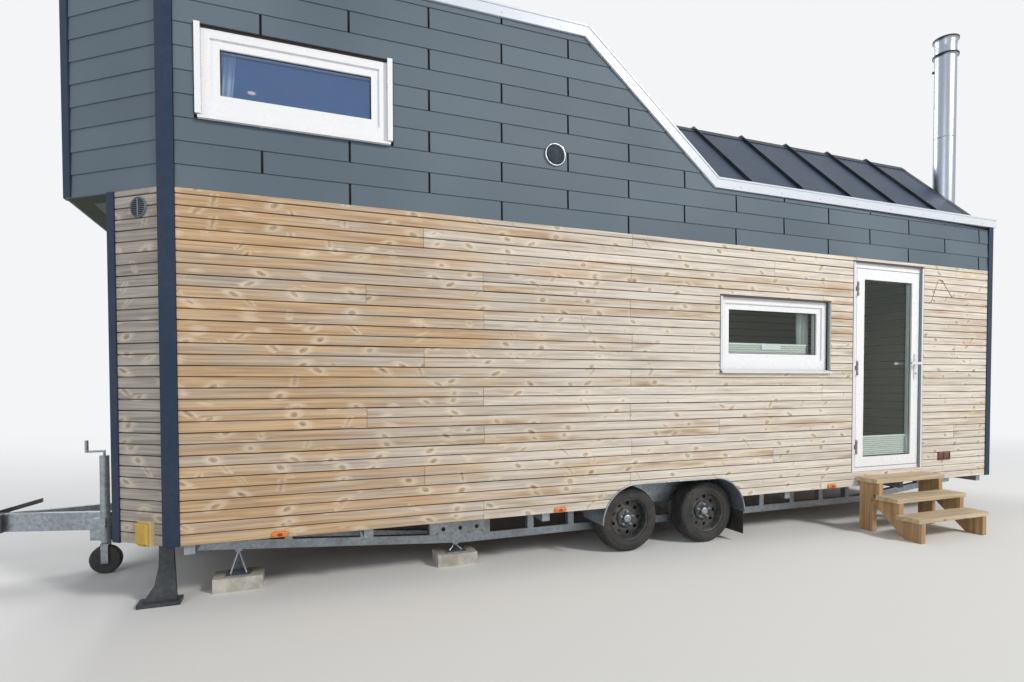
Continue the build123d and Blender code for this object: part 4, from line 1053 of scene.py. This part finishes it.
# The rims of the flanges are painted black, a painted reflection of dark ground, and the clamp bolt is
# dark.
flue_rings = Piece("flue_ring_edges")
for down in (0.178, 0.0095):
    band = mm((-9.5, -6), (-8, 1.2), (8, 1.2), (8.8, -5))
    turned(flue_rings, flue_axis + Z * (flue_top - down), Z, [(z, FLANGE_R + out) for z, out in band], 96)
clamp_out = Vector((-0.535, 0.845, 0))
turned(flue_rings, flue_axis + clamp_out * (FLUE_R - 0.003) + Z * (flue_top - 0.320), clamp_out,
       mm((0, 13), (18, 13), (22, 8)), 16)
flue_rings.make("black_gasket_and_shade", slot="flue_steel")
print("flue up to", round(flue_top, 3))

# %% [markdown]
# ## Vents and the small grille
# The round vent is a stainless ring with a dark wire mesh set back in it. The one on the chamfered
# corner is a ring with level slats and a bar down its middle, and the little grille near the floor has
# slats in two panels. Wires and slats are modelled, because a viewer sees through between them.

# %% Round vent with its mesh
VENT_R = 0.085
WIRE_R, WIRE_PITCH = 0.0011, 0.0055


def disc_outline(radius, depth):
    """A flat disc with a small bevel."""
    bevel = 0.001
    return [(0.0, radius), (depth - bevel, radius), (depth, radius - bevel), (depth, 0.004)]


vent_at = at(2.485, 0.0, 3.018)
mesh_r = VENT_R - 0.013
vent_ring = mm((0, 0), (12, 0), (22, 2), (27, 7), (25, 12), (12, 13), (11, 60))
turned(Piece("vent_ring"), vent_at, -Y, [(out, VENT_R - inwards) for out, inwards in vent_ring], 72).make(
    "vent_steel", replaced=("wall_vents",))
mesh_wires = Piece("vent_mesh")
for k in range(-13, 14):
    offset = k * WIRE_PITCH
    if abs(offset) < mesh_r - 0.001:
        half = sqrt(mesh_r ** 2 - offset ** 2)
        for depth, across, along in ((0.018, X, Z), (0.0195, Z, X)):
            middle = vent_at - Y * depth + across * offset
            tube(mesh_wires, [middle - along * half, middle + along * half], WIRE_R, 5)
mesh_wires.make("vent_grey", slot="vent_steel")
# A black disc behind the mesh: painted shade inside the vent.
turned(Piece("vent_shade"), vent_at, -Y, disc_outline(mesh_r, 0.0125)).make(
    "black_gasket_and_shade", slot="vent_steel")

# %% Slatted vent on the chamfer
LOUVRE_R = 0.062
inner = LOUVRE_R - 0.009
chamfer = lower["near_nose"]
louvre_at = chamfer.place(chamfer.length - 0.190, 0.0, SLATE_Z - 0.108)
rim_line = mm((10, 0), (19, 0), (25, 6), (24, 9), (13, 10), (12, 12))
# The ring is the darker vent grey: painted shade.
turned(Piece("nose_louvre"), louvre_at, chamfer.out,
       [(out, LOUVRE_R - inwards) for out, inwards in rim_line]).make("vent_grey", slot="vent_steel")
# A black disc behind the slats: painted shade inside the vent.
turned(Piece("louvre_shade"), louvre_at, chamfer.out, disc_outline(inner, 0.0165)).make(
    "black_gasket_and_shade", slot="vent_steel")
SLAT_SHAPE = mm((16, 1.2), (23.2, -2.2), (23.8, -0.6), (16.6, 2.6))
BAR_SHAPE = mm((12, -1.8), (25, -1.8), (25, 1.8), (12, 1.8))


def on_chamfer(origin, side, out, up):
    return origin + chamfer.along * side + chamfer.out * out + Z * up


slats = Piece("louvre_slats")
for height in [k * 0.0112 for k in range(-4, 5)]:
    half = sqrt(inner ** 2 - height ** 2) - 0.001
    slats.ring_run([[on_chamfer(louvre_at, side, out, height + up) for out, up in SLAT_SHAPE]
                    for side in (-half, half)])
slats.ring_run([[on_chamfer(louvre_at, side, out, up) for out, side in BAR_SHAPE]
                for up in (-inner, inner)])
# The slats are a paler grey: painted light.
slats.make("louvre_lit_grey", slot="vent_steel")

# %% Low grille
GRILLE_WIDE, GRILLE_HIGH, GRILLE_BAR = 0.088, 0.041, 0.010
grille_at = at(6.757, 0.0, 0.622)
grille = Piece("low_grille")


def grille_brick(x0, z0, x1, z1, front, back=0.0):
    brick(grille, grille_at + Vector((x0, -front, z0)), grille_at + Vector((x1, -back, z1)))


for low, top in frame_bars(-GRILLE_WIDE, -GRILLE_HIGH, GRILLE_WIDE, GRILLE_HIGH, GRILLE_BAR):
    grille_brick(*low, *top, 0.024)
room = GRILLE_HIGH - GRILLE_BAR
grille_brick(-0.005, -room, 0.005, room, 0.024)
grille_brick(0.008 - GRILLE_WIDE, 0.008 - GRILLE_HIGH, GRILLE_WIDE - 0.008, GRILLE_HIGH - 0.008, 0.013)
for k in range(1, 6):
    height = room * (k / 3 - 1.0)
    grille_brick(0.009 - GRILLE_WIDE, height - 0.0028, GRILLE_WIDE - 0.009, height + 0.0028, 0.021, 0.012)
grille.make("grille_plastic", slot="vent_steel")

# %% [markdown]
# ## Lamps, socket box and hinges
# The marker lamps are amber lenses on dark bases, with a red centre. The supply socket on the chamfer is
# a weathered box with a hinged lid. The hinges of the door are slim barrels with round ends, half of them
# on the frame and half on the leaf, so they ride on two different bodies.

# %% Marker lamps
def pill(piece, foot, wide, high, tall, normal):
    """A long rounded cushion standing on a wall: rings that shrink towards its top."""
    straight = (wide - high) / 2
    rings = []
    for shrink, lift in ((0.0, 0.0), (0.0, 0.55), (0.06, 0.82), (0.16, 0.95), (0.30, 1.0)):
        radius = high * (0.5 - shrink)
        rings.append([foot + normal * (tall * lift) + X * (side * straight + radius * cos(turn))
                      + Z * (radius * sin(turn))
                      for side in (1, -1) for turn in [pi * k / 15 - side * pi / 2 for k in range(16)]])
    piece.ring_run(rings, smooth=True)


LAMP_Z = SKIRT_Z + 0.024
bases, lenses, reds = Piece("lamp_bases"), Piece("lamp_lenses"), Piece("lamp_centres")
for x in (0.595, 2.524, 5.245):
    for side_y, normal in ((0.0, -Y), (WIDTH, Y)):
        foot = at(x, side_y, LAMP_Z)
        pill(bases, foot, 0.106, 0.044, 0.012, normal)
        pill(lenses, foot + normal * 0.010, 0.098, 0.037, 0.022, normal)
        pill(reds, foot + normal * 0.030, 0.034, 0.020, 0.0028, normal)
bases.make("black_gasket_and_shade", slot="lamp_amber", replaced=("marker_lamps",))
lenses.make("lamp_amber")
reds.make("lamp_red", slot="lamp_amber")

# %% Wire hook beside the door
HOOK_POINTS = [(6.512, 2.13), (6.54, 2.143), (6.635, 2.354), (6.655, 2.365), (6.695, 2.36), (6.825, 2.223),
               (6.843, 2.208)]
hook = Piece("wire_hook")
tube(hook, [at(x, -0.0165, z) for x, z in HOOK_POINTS], 0.0017, 8)
for index in (0, 3, -1):
    x, z = HOOK_POINTS[index]
    turned(hook, at(x, -0.010, z), -Y, mm((0, 4.5), (8, 4.5), (10, 2.5)), 12)
hook.make("coupling_black", slot="handle_steel")

# %% Supply socket
socket_at = chamfer.place(chamfer.length - 0.1636, 0.0, SKIRT_Z + 0.075)


def socket_brick(piece, across, out, height, bevel=0.006):
    """A box on the chamfered wall with its front edges cut off, given by pairs of limits."""
    rings = []
    for lift, shrink in ((out[0], 0.0), (out[1] - bevel, 0.0), (out[1], bevel)):
        (a0, a1), (z0, z1) = ((low + shrink, high - shrink) for low, high in (across, height))
        rings.append([on_chamfer(socket_at, a, lift, z)
                      for a, z in ((a0, z0), (a1, z0), (a1, z1), (a0, z1))])
    return piece.ring_run(rings)


socket_brick(Piece("socket_body"), (-0.052, 0.052), (0.0, 0.044), (-0.075, 0.075)).make(
    "socket_plastic", replaced=("socket_box",))
lid = Piece("socket_lid")
socket_brick(lid, (-0.046, 0.046), (0.0445, 0.066), (-0.060, 0.066), 0.010)
socket_brick(lid, (-0.018, 0.018), (0.0445, 0.060), (-0.070, -0.058), 0.003)
lid.make("socket_lid_yellow", slot="socket_plastic")

# %% Hinge barrels and lock
HINGE_IN, HINGE_DEEP, HINGE_FROM_END = 0.045, 0.011, 0.190
leaf_low, leaf_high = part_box("door_leaf")
frame_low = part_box("door_frame")[0]
hinge = Vector((frame_low.x + HINGE_IN, frame_low.y + HINGE_DEEP, 0))
barrels_frame, barrels_leaf = Piece("hinge_barrels_frame"), Piece("hinge_barrels_leaf")
for z in (leaf_low.z + HINGE_FROM_END, (leaf_low.z + leaf_high.z) / 2, leaf_high.z - HINGE_FROM_END):
    barrel = mm((-20.5, 11.8), (-20, 12.2), (20, 12.2), (20.5, 11.8))
    turned(barrels_leaf, hinge + Z * z, Z, barrel, 24)
    cap = mm((-20.5, 11.8), (-20, 12.2), (18, 12.2), (22.5, 10.5), (24.5, 5))
    for sign in (-1, 1):
        turned(barrels_frame, hinge + Z * (z + sign * 0.0425), Z * sign, cap, 24)
barrels_frame.make("hinge_grey", slot="handle_steel")
barrels_leaf.make("hinge_grey", body="door", slot="handle_steel")
lock_at = Vector((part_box("door_handle")[1].x - 0.018, leaf_high.y - 0.070, 1.445))
turned(Piece("door_lock"), lock_at, -Y, mm((0, 10.5), (3.2, 10), (3.8, 2)), 24).make(
    "handle_steel", body="door")
print("hinge axis", round(hinge.x, 3), round(hinge.y, 3))

# %% [markdown]
# ## Seals, blinds and curtains
# A black seal runs round every pane. Behind the low window and the door hang pleated blinds, let down
# only a hand's width above the sill, and narrow curtains hang behind both near windows. Each cloth is one
# thin surface, folded by a formula.

# %% Seals round the panes
SEAL_WIDE, SEAL_PROUD = 0.006, 0.0025


def across_house(point):
    """The same place on the far side of the house."""
    return Vector((point.x, 2 * CORNER.y + WIDTH - point.y, point.z))


def seal(piece, node, flipped=False):
    """Four thin bars on the front of a pane, along its edges."""
    low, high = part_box(node)
    for (x0, z0), (x1, z1) in frame_bars(low.x, low.z, high.x, high.z, SEAL_WIDE):
        corners = Vector((x0, low.y - SEAL_PROUD, z0)), Vector((x1, low.y, z1))
        brick(piece, *(map(across_house, corners) if flipped else corners))
    return piece


seals = Piece("pane_seals")
for node in ("loft_window_glass", "low_window_glass"):
    seal(seals, node)
    seal(seals, node, flipped=True)
seals.make("black_gasket_and_shade", slot="window_glass")
seal(Piece("door_seal"), "door_glass").make("black_gasket_and_shade", body="door", slot="window_glass")

# %% Pleated blinds
def pleats(name, x0, x1, z0, z1, y_front, deep, rests_on, **carrier):
    """A blind whose cloth zigzags up between two planes."""
    count = 2 * max(4, int((z1 - z0) / 0.019))
    rise = (z1 - z0) / count
    rings = [[Vector((x, y_front + deep * (k % 2), z0 + rise * k)) for k in range(count + 1)]
             for x in (x0, x1)]
    made = Piece(name).ring_run(rings, closed=False).make("blind_fabric", **carrier)


low_pane, low_pane_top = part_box("low_window_glass")
blind_y, blind_top = low_pane_top.y + 0.003, low_pane.z + 0.080
pleats("low_window_blind", low_pane.x + 0.012, low_pane_top.x - 0.075, low_pane.z + 0.003, blind_top,
       blind_y, 0.012, "low_window_frame")
rails = Piece("blind_rails")
brick(rails, (low_pane.x + 0.010, blind_y - 0.001, blind_top),
      (low_pane_top.x - 0.073, blind_y + 0.014, blind_top + 0.014))
brick(rails, (low_pane.x + 0.395, blind_y - 0.0015, blind_top - 0.040),
      (low_pane.x + 0.610, blind_y + 0.0005, blind_top + 0.008))
rails.make("white_frames")

blind_low, blind_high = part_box("door_blind")
blind_y, blind_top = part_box("door_glass")[1].y + 0.001, blind_high.z - 0.012
pleats("door_pleats", blind_low.x, blind_high.x, blind_low.z, blind_top, blind_y, 0.014, "door_leaf",
       body="door", replaced=("door_blind",))
brick(Piece("door_blind_rail"), (blind_low.x - 0.001, blind_y - 0.0005, blind_top),
      (blind_high.x + 0.001, blind_y + 0.016, blind_top + 0.014)).make("white_frames", body="door")

# %% Curtains
ROD_ABOVE, FOLDS, FOLD_DEEP, ROWS = 0.155, 5, 0.018, 12
INNER_Y = CORNER.y + WALL_THICK
ROD_Y = INNER_Y + 0.045


def curtain(name, x_left, x_right, z_low, z_high, lean):
    """A folded line seen from above, carried up to the rod; lean is how far the foot hangs aside."""
    line = []
    for share in [k / (FOLDS * 10) for k in range(FOLDS * 10 + 1)]:
        turn = 2 * pi * FOLDS * share
        fold = FOLD_DEEP * sin(turn) * (0.75 + 0.25 * sin(turn * 0.37 + 0.6))
        sway = 0.004 * sin(turn * 0.5 + 1.0)
        line.append(Vector((x_left + (x_right - x_left) * share + sway, ROD_Y + fold, 0)))
    rings = [[point + X * (lean * (1.0 - row / ROWS) ** 2) + Z * (z_low + (z_high - z_low) * row / ROWS)
              for point in line] for row in range(ROWS + 1)]
    made = Piece(name).ring_run(rings, closed=False, smooth=True).make("curtain_cloth", slot="blind_fabric")


loft_pane, loft_pane_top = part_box("loft_window_glass")
rods = Piece("curtain_rods")
for low, high in ((loft_pane, loft_pane_top), (low_pane, low_pane_top)):
    rod_z = high.z + ROD_ABOVE
    tube(rods, [Vector((low.x - 0.12, ROD_Y, rod_z)), Vector((high.x + 0.12, ROD_Y, rod_z))], 0.006, 10)
    for x in (low.x - 0.10, high.x + 0.10):
        tube(rods, [Vector((x, INNER_Y - 0.001, rod_z)), Vector((x, ROD_Y, rod_z))], 0.005, 8)
rods.make("handle_steel")
curtain("loft_curtain", loft_pane.x - 0.060, loft_pane.x + 0.080, loft_pane.z - 0.110,
        loft_pane_top.z + ROD_ABOVE, -0.05)
curtain("low_window_curtain", low_pane_top.x - 0.100, low_pane_top.x + 0.035, low_pane.z - 0.100,
        low_pane_top.z + ROD_ABOVE, 0.02)

# %% Ceiling spot
spot_at = at(0.360, 1.736, TOP_Z - FASCIA)
ring_line = mm((0, 46), (4, 45), (6, 40), (3, 34), (2, 32))
turned(Piece("ceiling_spot_ring"), spot_at, -Z, ring_line, 40).make("handle_steel")
glass_line = mm((2, 32), (4, 31), (4.5, 4))
turned(Piece("ceiling_spot_glass"), spot_at, -Z, glass_line, 32).make("spot_glass", slot="blind_fabric")

# %% [markdown]
# ## Wheels
# The tyre is its section carried round the axle, with grooves round it and narrow cuts across its
# shoulders. The wheel disc is pressed sheet: a flat plate with holes is filled by Blender's 2-D curves,
# which allow holes in a face, and the rim, the hub and the nuts are turned outlines.

# %% Tyre
TYRE_SECTION = mm((-80.5, 165.5), (-89.5, 172), (-91.5, 184), (-90.5, 190), (-92.2, 193), (-92.5, 206),
                  (-90.5, 211), (-89.5, 229), (-85, 243), (-77, 252.5), (-69, 257.5), (-60, 260),
                  (-48, 261.2), (-46.5, 254.5), (-40.5, 254.5), (-39, 261.5), (-18, 262), (-16.5, 255),
                  (-11.5, 255), (-10, 262))
TYRE_SECTION += [(-across, radius) for across, radius in TYRE_SECTION[::-1]]
TREAD_BLOCKS, TREAD_CUT = 44, 0.0055


def wheel_place(name):
    """The middle of a wheel, and the direction that its outer face looks."""
    low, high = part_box(name + "_tyre")
    return (low + high) / 2, -Y if name.startswith("near") else Y


def spoke(turn):
    return X * cos(turn) + Z * sin(turn)


def tread_radius(across, radius, cut):
    """Narrow cuts cross the shoulders of the tread only."""
    return radius - TREAD_CUT * cut * (0.050 < abs(across) < 0.078 and radius > 0.25)


def tyre(name):
    middle, out = wheel_place(name)
    rings = []
    for block in range(TREAD_BLOCKS):
        for share, cut in ((0.0, 0.0), (0.03, 1.0), (0.13, 1.0), (0.16, 0.0)):
            away = spoke(2 * pi * (block + share) / TREAD_BLOCKS)
            rings.append([middle + out * across + away * tread_radius(across, radius, cut)
                          for across, radius in TYRE_SECTION])
    Piece(name + "_tread").ring_run(rings, looped=True).make(
        "tyre_rubber", body=name + "_wheel", replaced=(name + "_tyre",))


for name in WHEEL_NODES:
    tyre(name)

# %% Wheel disc
RIM_OUTLINE = mm((-80, 164.8), (-80, 156), (-50, 150), (20, 150), (60, 152), (77, 156), (82.5, 160),
                 (83.5, 164), (80, 165.2), (0, 164))
DISH_OUTLINE = mm((-4, 78), (4, 82), (16, 74), (20, 66), (20, 4))
HUB_OUTLINE = mm((18, 36), (42, 34), (48, 30), (50.5, 20), (51, 3))
NUT_OUTLINE = mm((18, 11.5), (26, 10.5), (26.2, 9.5), (38, 9.5), (40.5, 7))
DISC_AT, DISC_R, DISC_THICK, RIM_STEPS = 0.012, 0.1495, 0.006, 96
DISC_HOLES, HOLE_RING, HOLE_R = 9, 0.118, 0.0165
NUTS, NUT_RING = 5, 0.056


def disc_plate(name):
    """A flat sheet with round holes lying at the origin, made from filled curves."""
    data = bpy.data.curves.new(name, "CURVE")
    data.dimensions = "2D"
    data.fill_mode = "BOTH"
    data.extrude = DISC_THICK / 2
    data.bevel_depth = 0.0012
    data.bevel_resolution = 1
    turns = [2 * pi * k / DISC_HOLES for k in range(DISC_HOLES)]
    holes = [(HOLE_RING * cos(turn), HOLE_RING * sin(turn), HOLE_R, 24) for turn in turns]
    for x, y, radius, count in [(0.0, 0.0, DISC_R, RIM_STEPS), *holes]:
        spline = data.splines.new("POLY")
        spline.points.add(count - 1)
        for point, place in zip(spline.points, circle(Vector((x, y, 0)), X, Y, radius, count)):
            point.co = (*place, 1.0)
        spline.use_cyclic_u = True
    holder = bpy.data.objects.new(name + "_curve", data)
    mesh = bpy.data.meshes.new_from_object(holder)
    bpy.data.objects.remove(holder)
    return mesh


def rim(name):
    middle, out = wheel_place(name)
    body = name + "_wheel"
    spokes = [spoke(2 * pi * k / RIM_STEPS) for k in range(RIM_STEPS)]
    piece = Piece(name + "_rim_ring")
    rings = [[middle + out * place + away * radius for place, radius in RIM_OUTLINE] for away in spokes]
    piece.ring_run(rings, looped=True, smooth=True)
    face = middle + out * DISC_AT
    turned(piece, face, out, DISH_OUTLINE, 72)
    piece.make("rim_steel", body=body, replaced=(name + "_rim",))
    plate = disc_plate(name + "_disc")
    standing = Matrix((X if out.y < 0 else -X, Z, out)).transposed().to_4x4()
    plate.transform(Matrix.Translation(face) @ standing)
    dressed(name + "_disc", plate, "rim_steel", body=body)
    hub = Piece(name + "_hub")
    turned(hub, face, out, HUB_OUTLINE)
    for k in range(NUTS):
        turned(hub, face + spoke(2 * pi * k / NUTS + 0.3) * NUT_RING, out, NUT_OUTLINE, 6)
    hub.make("galvanised_steel", body=body, slot="rim_steel")


for name in WHEEL_NODES:
    rim(name)

# %% [markdown]
# ## Running gear and fixings
# The mudguards have a rolled edge, the plate of the side beam has bolts beside its holes, and screws hold
# the treads. These small parts sit on the pieces of the model that carry them.

# %% Rolled edges of the mudguards
BEAD_R = ARCH_R - 0.003
beads = Piece("guard_beads")
path = []
for x, first in ((CORNER.x + ARCH_START + ARCH_R, pi), (CORNER.x + ARCH_END - ARCH_R, pi / 2)):
    for turn in [first - (pi / 2) * k / 16 for k in range(17)]:
        path.append(Vector((x + BEAD_R * cos(turn), guard_low.y + 0.004, AXLE_Z + BEAD_R * sin(turn))))
for line in (path, [across_house(point) for point in path]):
    tube(beads, line, 0.006, 10)
beads.make("galvanised_steel")

# %% Bolts and screws
BOLT = mm((-1, 10.8), (1.6, 10.8), (1.8, 8), (6, 8), (7, 6.4))
SCREW = mm((0, 4.5), (0.7, 4.3), (0.8, 1))
bolts = Piece("frame_bolts")
beam_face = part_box("side_beams")[0].y - CORNER.y
for x in (1.675, 1.785, 1.915, 2.025):
    for z in (0.222, 0.318):
        turned(bolts, at(x, beam_face, z), -Y, BOLT, 6)
bolts.make("galvanised_steel")

step_low, step_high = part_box("step_treads")
step_screws = Piece("step_screws")
for top, front, back in ((0.484, 0.225, 0.0), (0.340, 0.412, 0.212), (0.205, 0.600, 0.400)):
    for x in (step_low.x + 0.053, step_high.x - 0.053):
        for share in (0.2, 0.5, 0.8):
            y = CORNER.y - back - share * (front - back)
            turned(step_screws, Vector((x, y, top - 0.0004)), Z, SCREW, 12)
step_screws.make("handle_steel", slot="fresh_pine")

# %% [markdown]
# ## Camera, light and floor
# The camera stands where the photographer stood, close to the house and low, with a wide lens. Its frame
# is shifted instead of tilted, which keeps the uprights of the house upright. Three soft lamps and a pale
# world light the house evenly, and the floor only adds a shadow.

# %% Camera
CAMERA_AT = at(0.6956, -3.8664, 1.3523)
RIGHT = Vector((0.93595, -0.35212, -0.00204))
UP = Vector((0.01036, 0.02174, 0.99971))
BACK = Vector((-0.35197, -0.93570, 0.02399))
camera_data = bpy.data.cameras.new("camera")
camera_data.lens = 20.215
camera_data.sensor_width = 36.0
camera_data.shift_y = 0.0549
camera = bpy.data.objects.new("camera", camera_data)
link(camera)
camera.matrix_world = Matrix.Translation(CAMERA_AT) @ Matrix((RIGHT, UP, BACK)).transposed().to_4x4()
bpy.context.scene.camera = camera
print("camera at", [round(part, 3) for part in CAMERA_AT])

# %% Floor
REACH = 60.0
BACKDROP = (0.90, 0.915, 0.93, 1.0)
FADE_FROM, FADE_TO = 4.0, 17.0


def camera_or_glossy(start):
    """1 for rays that a viewer, a mirror or a pane sends out, and 0 for those that only carry light."""
    path = start.tree.nodes.new("ShaderNodeLightPath")
    names = ("Is Camera Ray", "Is Glossy Ray", "Is Transmission Ray")
    seen, glossy, through = (Value(start.tree, path.outputs[name]) for name in names)
    return (seen + glossy + through).clamp()


def floor_finish():
    """A pale floor that turns into the backdrop far from the house, so that no horizon shows."""
    shader, spot = finish("studio_floor", (229, 229, 227), 0.9)
    away = (spot.part(0) * spot.part(0) + spot.part(1) * spot.part(1)) ** 0.5
    glow = spot.node("ShaderNodeEmission", inputs={"Color": BACKDROP, "Strength": 1.0})
    share = away.step(FADE_FROM, FADE_TO) * camera_or_glossy(spot)
    surface(share, Value(spot.tree, shader.outputs[0]), glow)


floor_finish()
floor_mesh = bpy.data.meshes.new("studio_floor")
corners = [(x * REACH, y * REACH, 0) for x, y in ((-1, -1), (1, -1), (1, 1), (-1, 1))]
floor_mesh.from_pydata(corners, [], [(0, 1, 2, 3)])
floor_mesh.materials.append(finishes["studio_floor"])
studio_floor = bpy.data.objects.new("studio_floor", floor_mesh)
link(studio_floor)

# %% Lights
def soft_lamp(name, place, target, size, power, tone=(1.0, 1.0, 1.0)):
    data = bpy.data.lights.new(name, "AREA")
    data.shape = "DISK"
    data.size = size
    data.energy = power
    data.color = tone
    lamp = bpy.data.objects.new(name, data)
    lamp.location = place
    lamp.rotation_euler = (Vector(target) - Vector(place)).to_track_quat("-Z", "Y").to_euler()
    link(lamp)


soft_lamp("key_lamp", (8.5, -14.0, 11.5), (0.5, 0, 2.0), 3.2, 2150, (1.0, 0.97, 0.93))
soft_lamp("fill_lamp", (-11.0, -10.0, 6.0), (-1.0, 0, 2.0), 8.0, 420, (0.92, 0.96, 1.0))
soft_lamp("back_lamp", (-2.0, 14.0, 10.0), (0.5, 0, 2.5), 8.0, 1500)

world = bpy.data.worlds.new("studio")
bpy.context.scene.world = world
world.use_nodes = True
sky = world.node_tree.nodes["Background"]
sky.inputs["Color"].default_value = (0.90, 0.94, 1.0, 1.0)
sky.inputs["Strength"].default_value = 0.40
start = Value(world.node_tree, sky.outputs[0])
backdrop = start.node("ShaderNodeBackground", inputs={"Color": BACKDROP, "Strength": 1.0})
surface(camera_or_glossy(start), start, backdrop)
bpy.context.scene.view_settings.view_transform = "Standard"
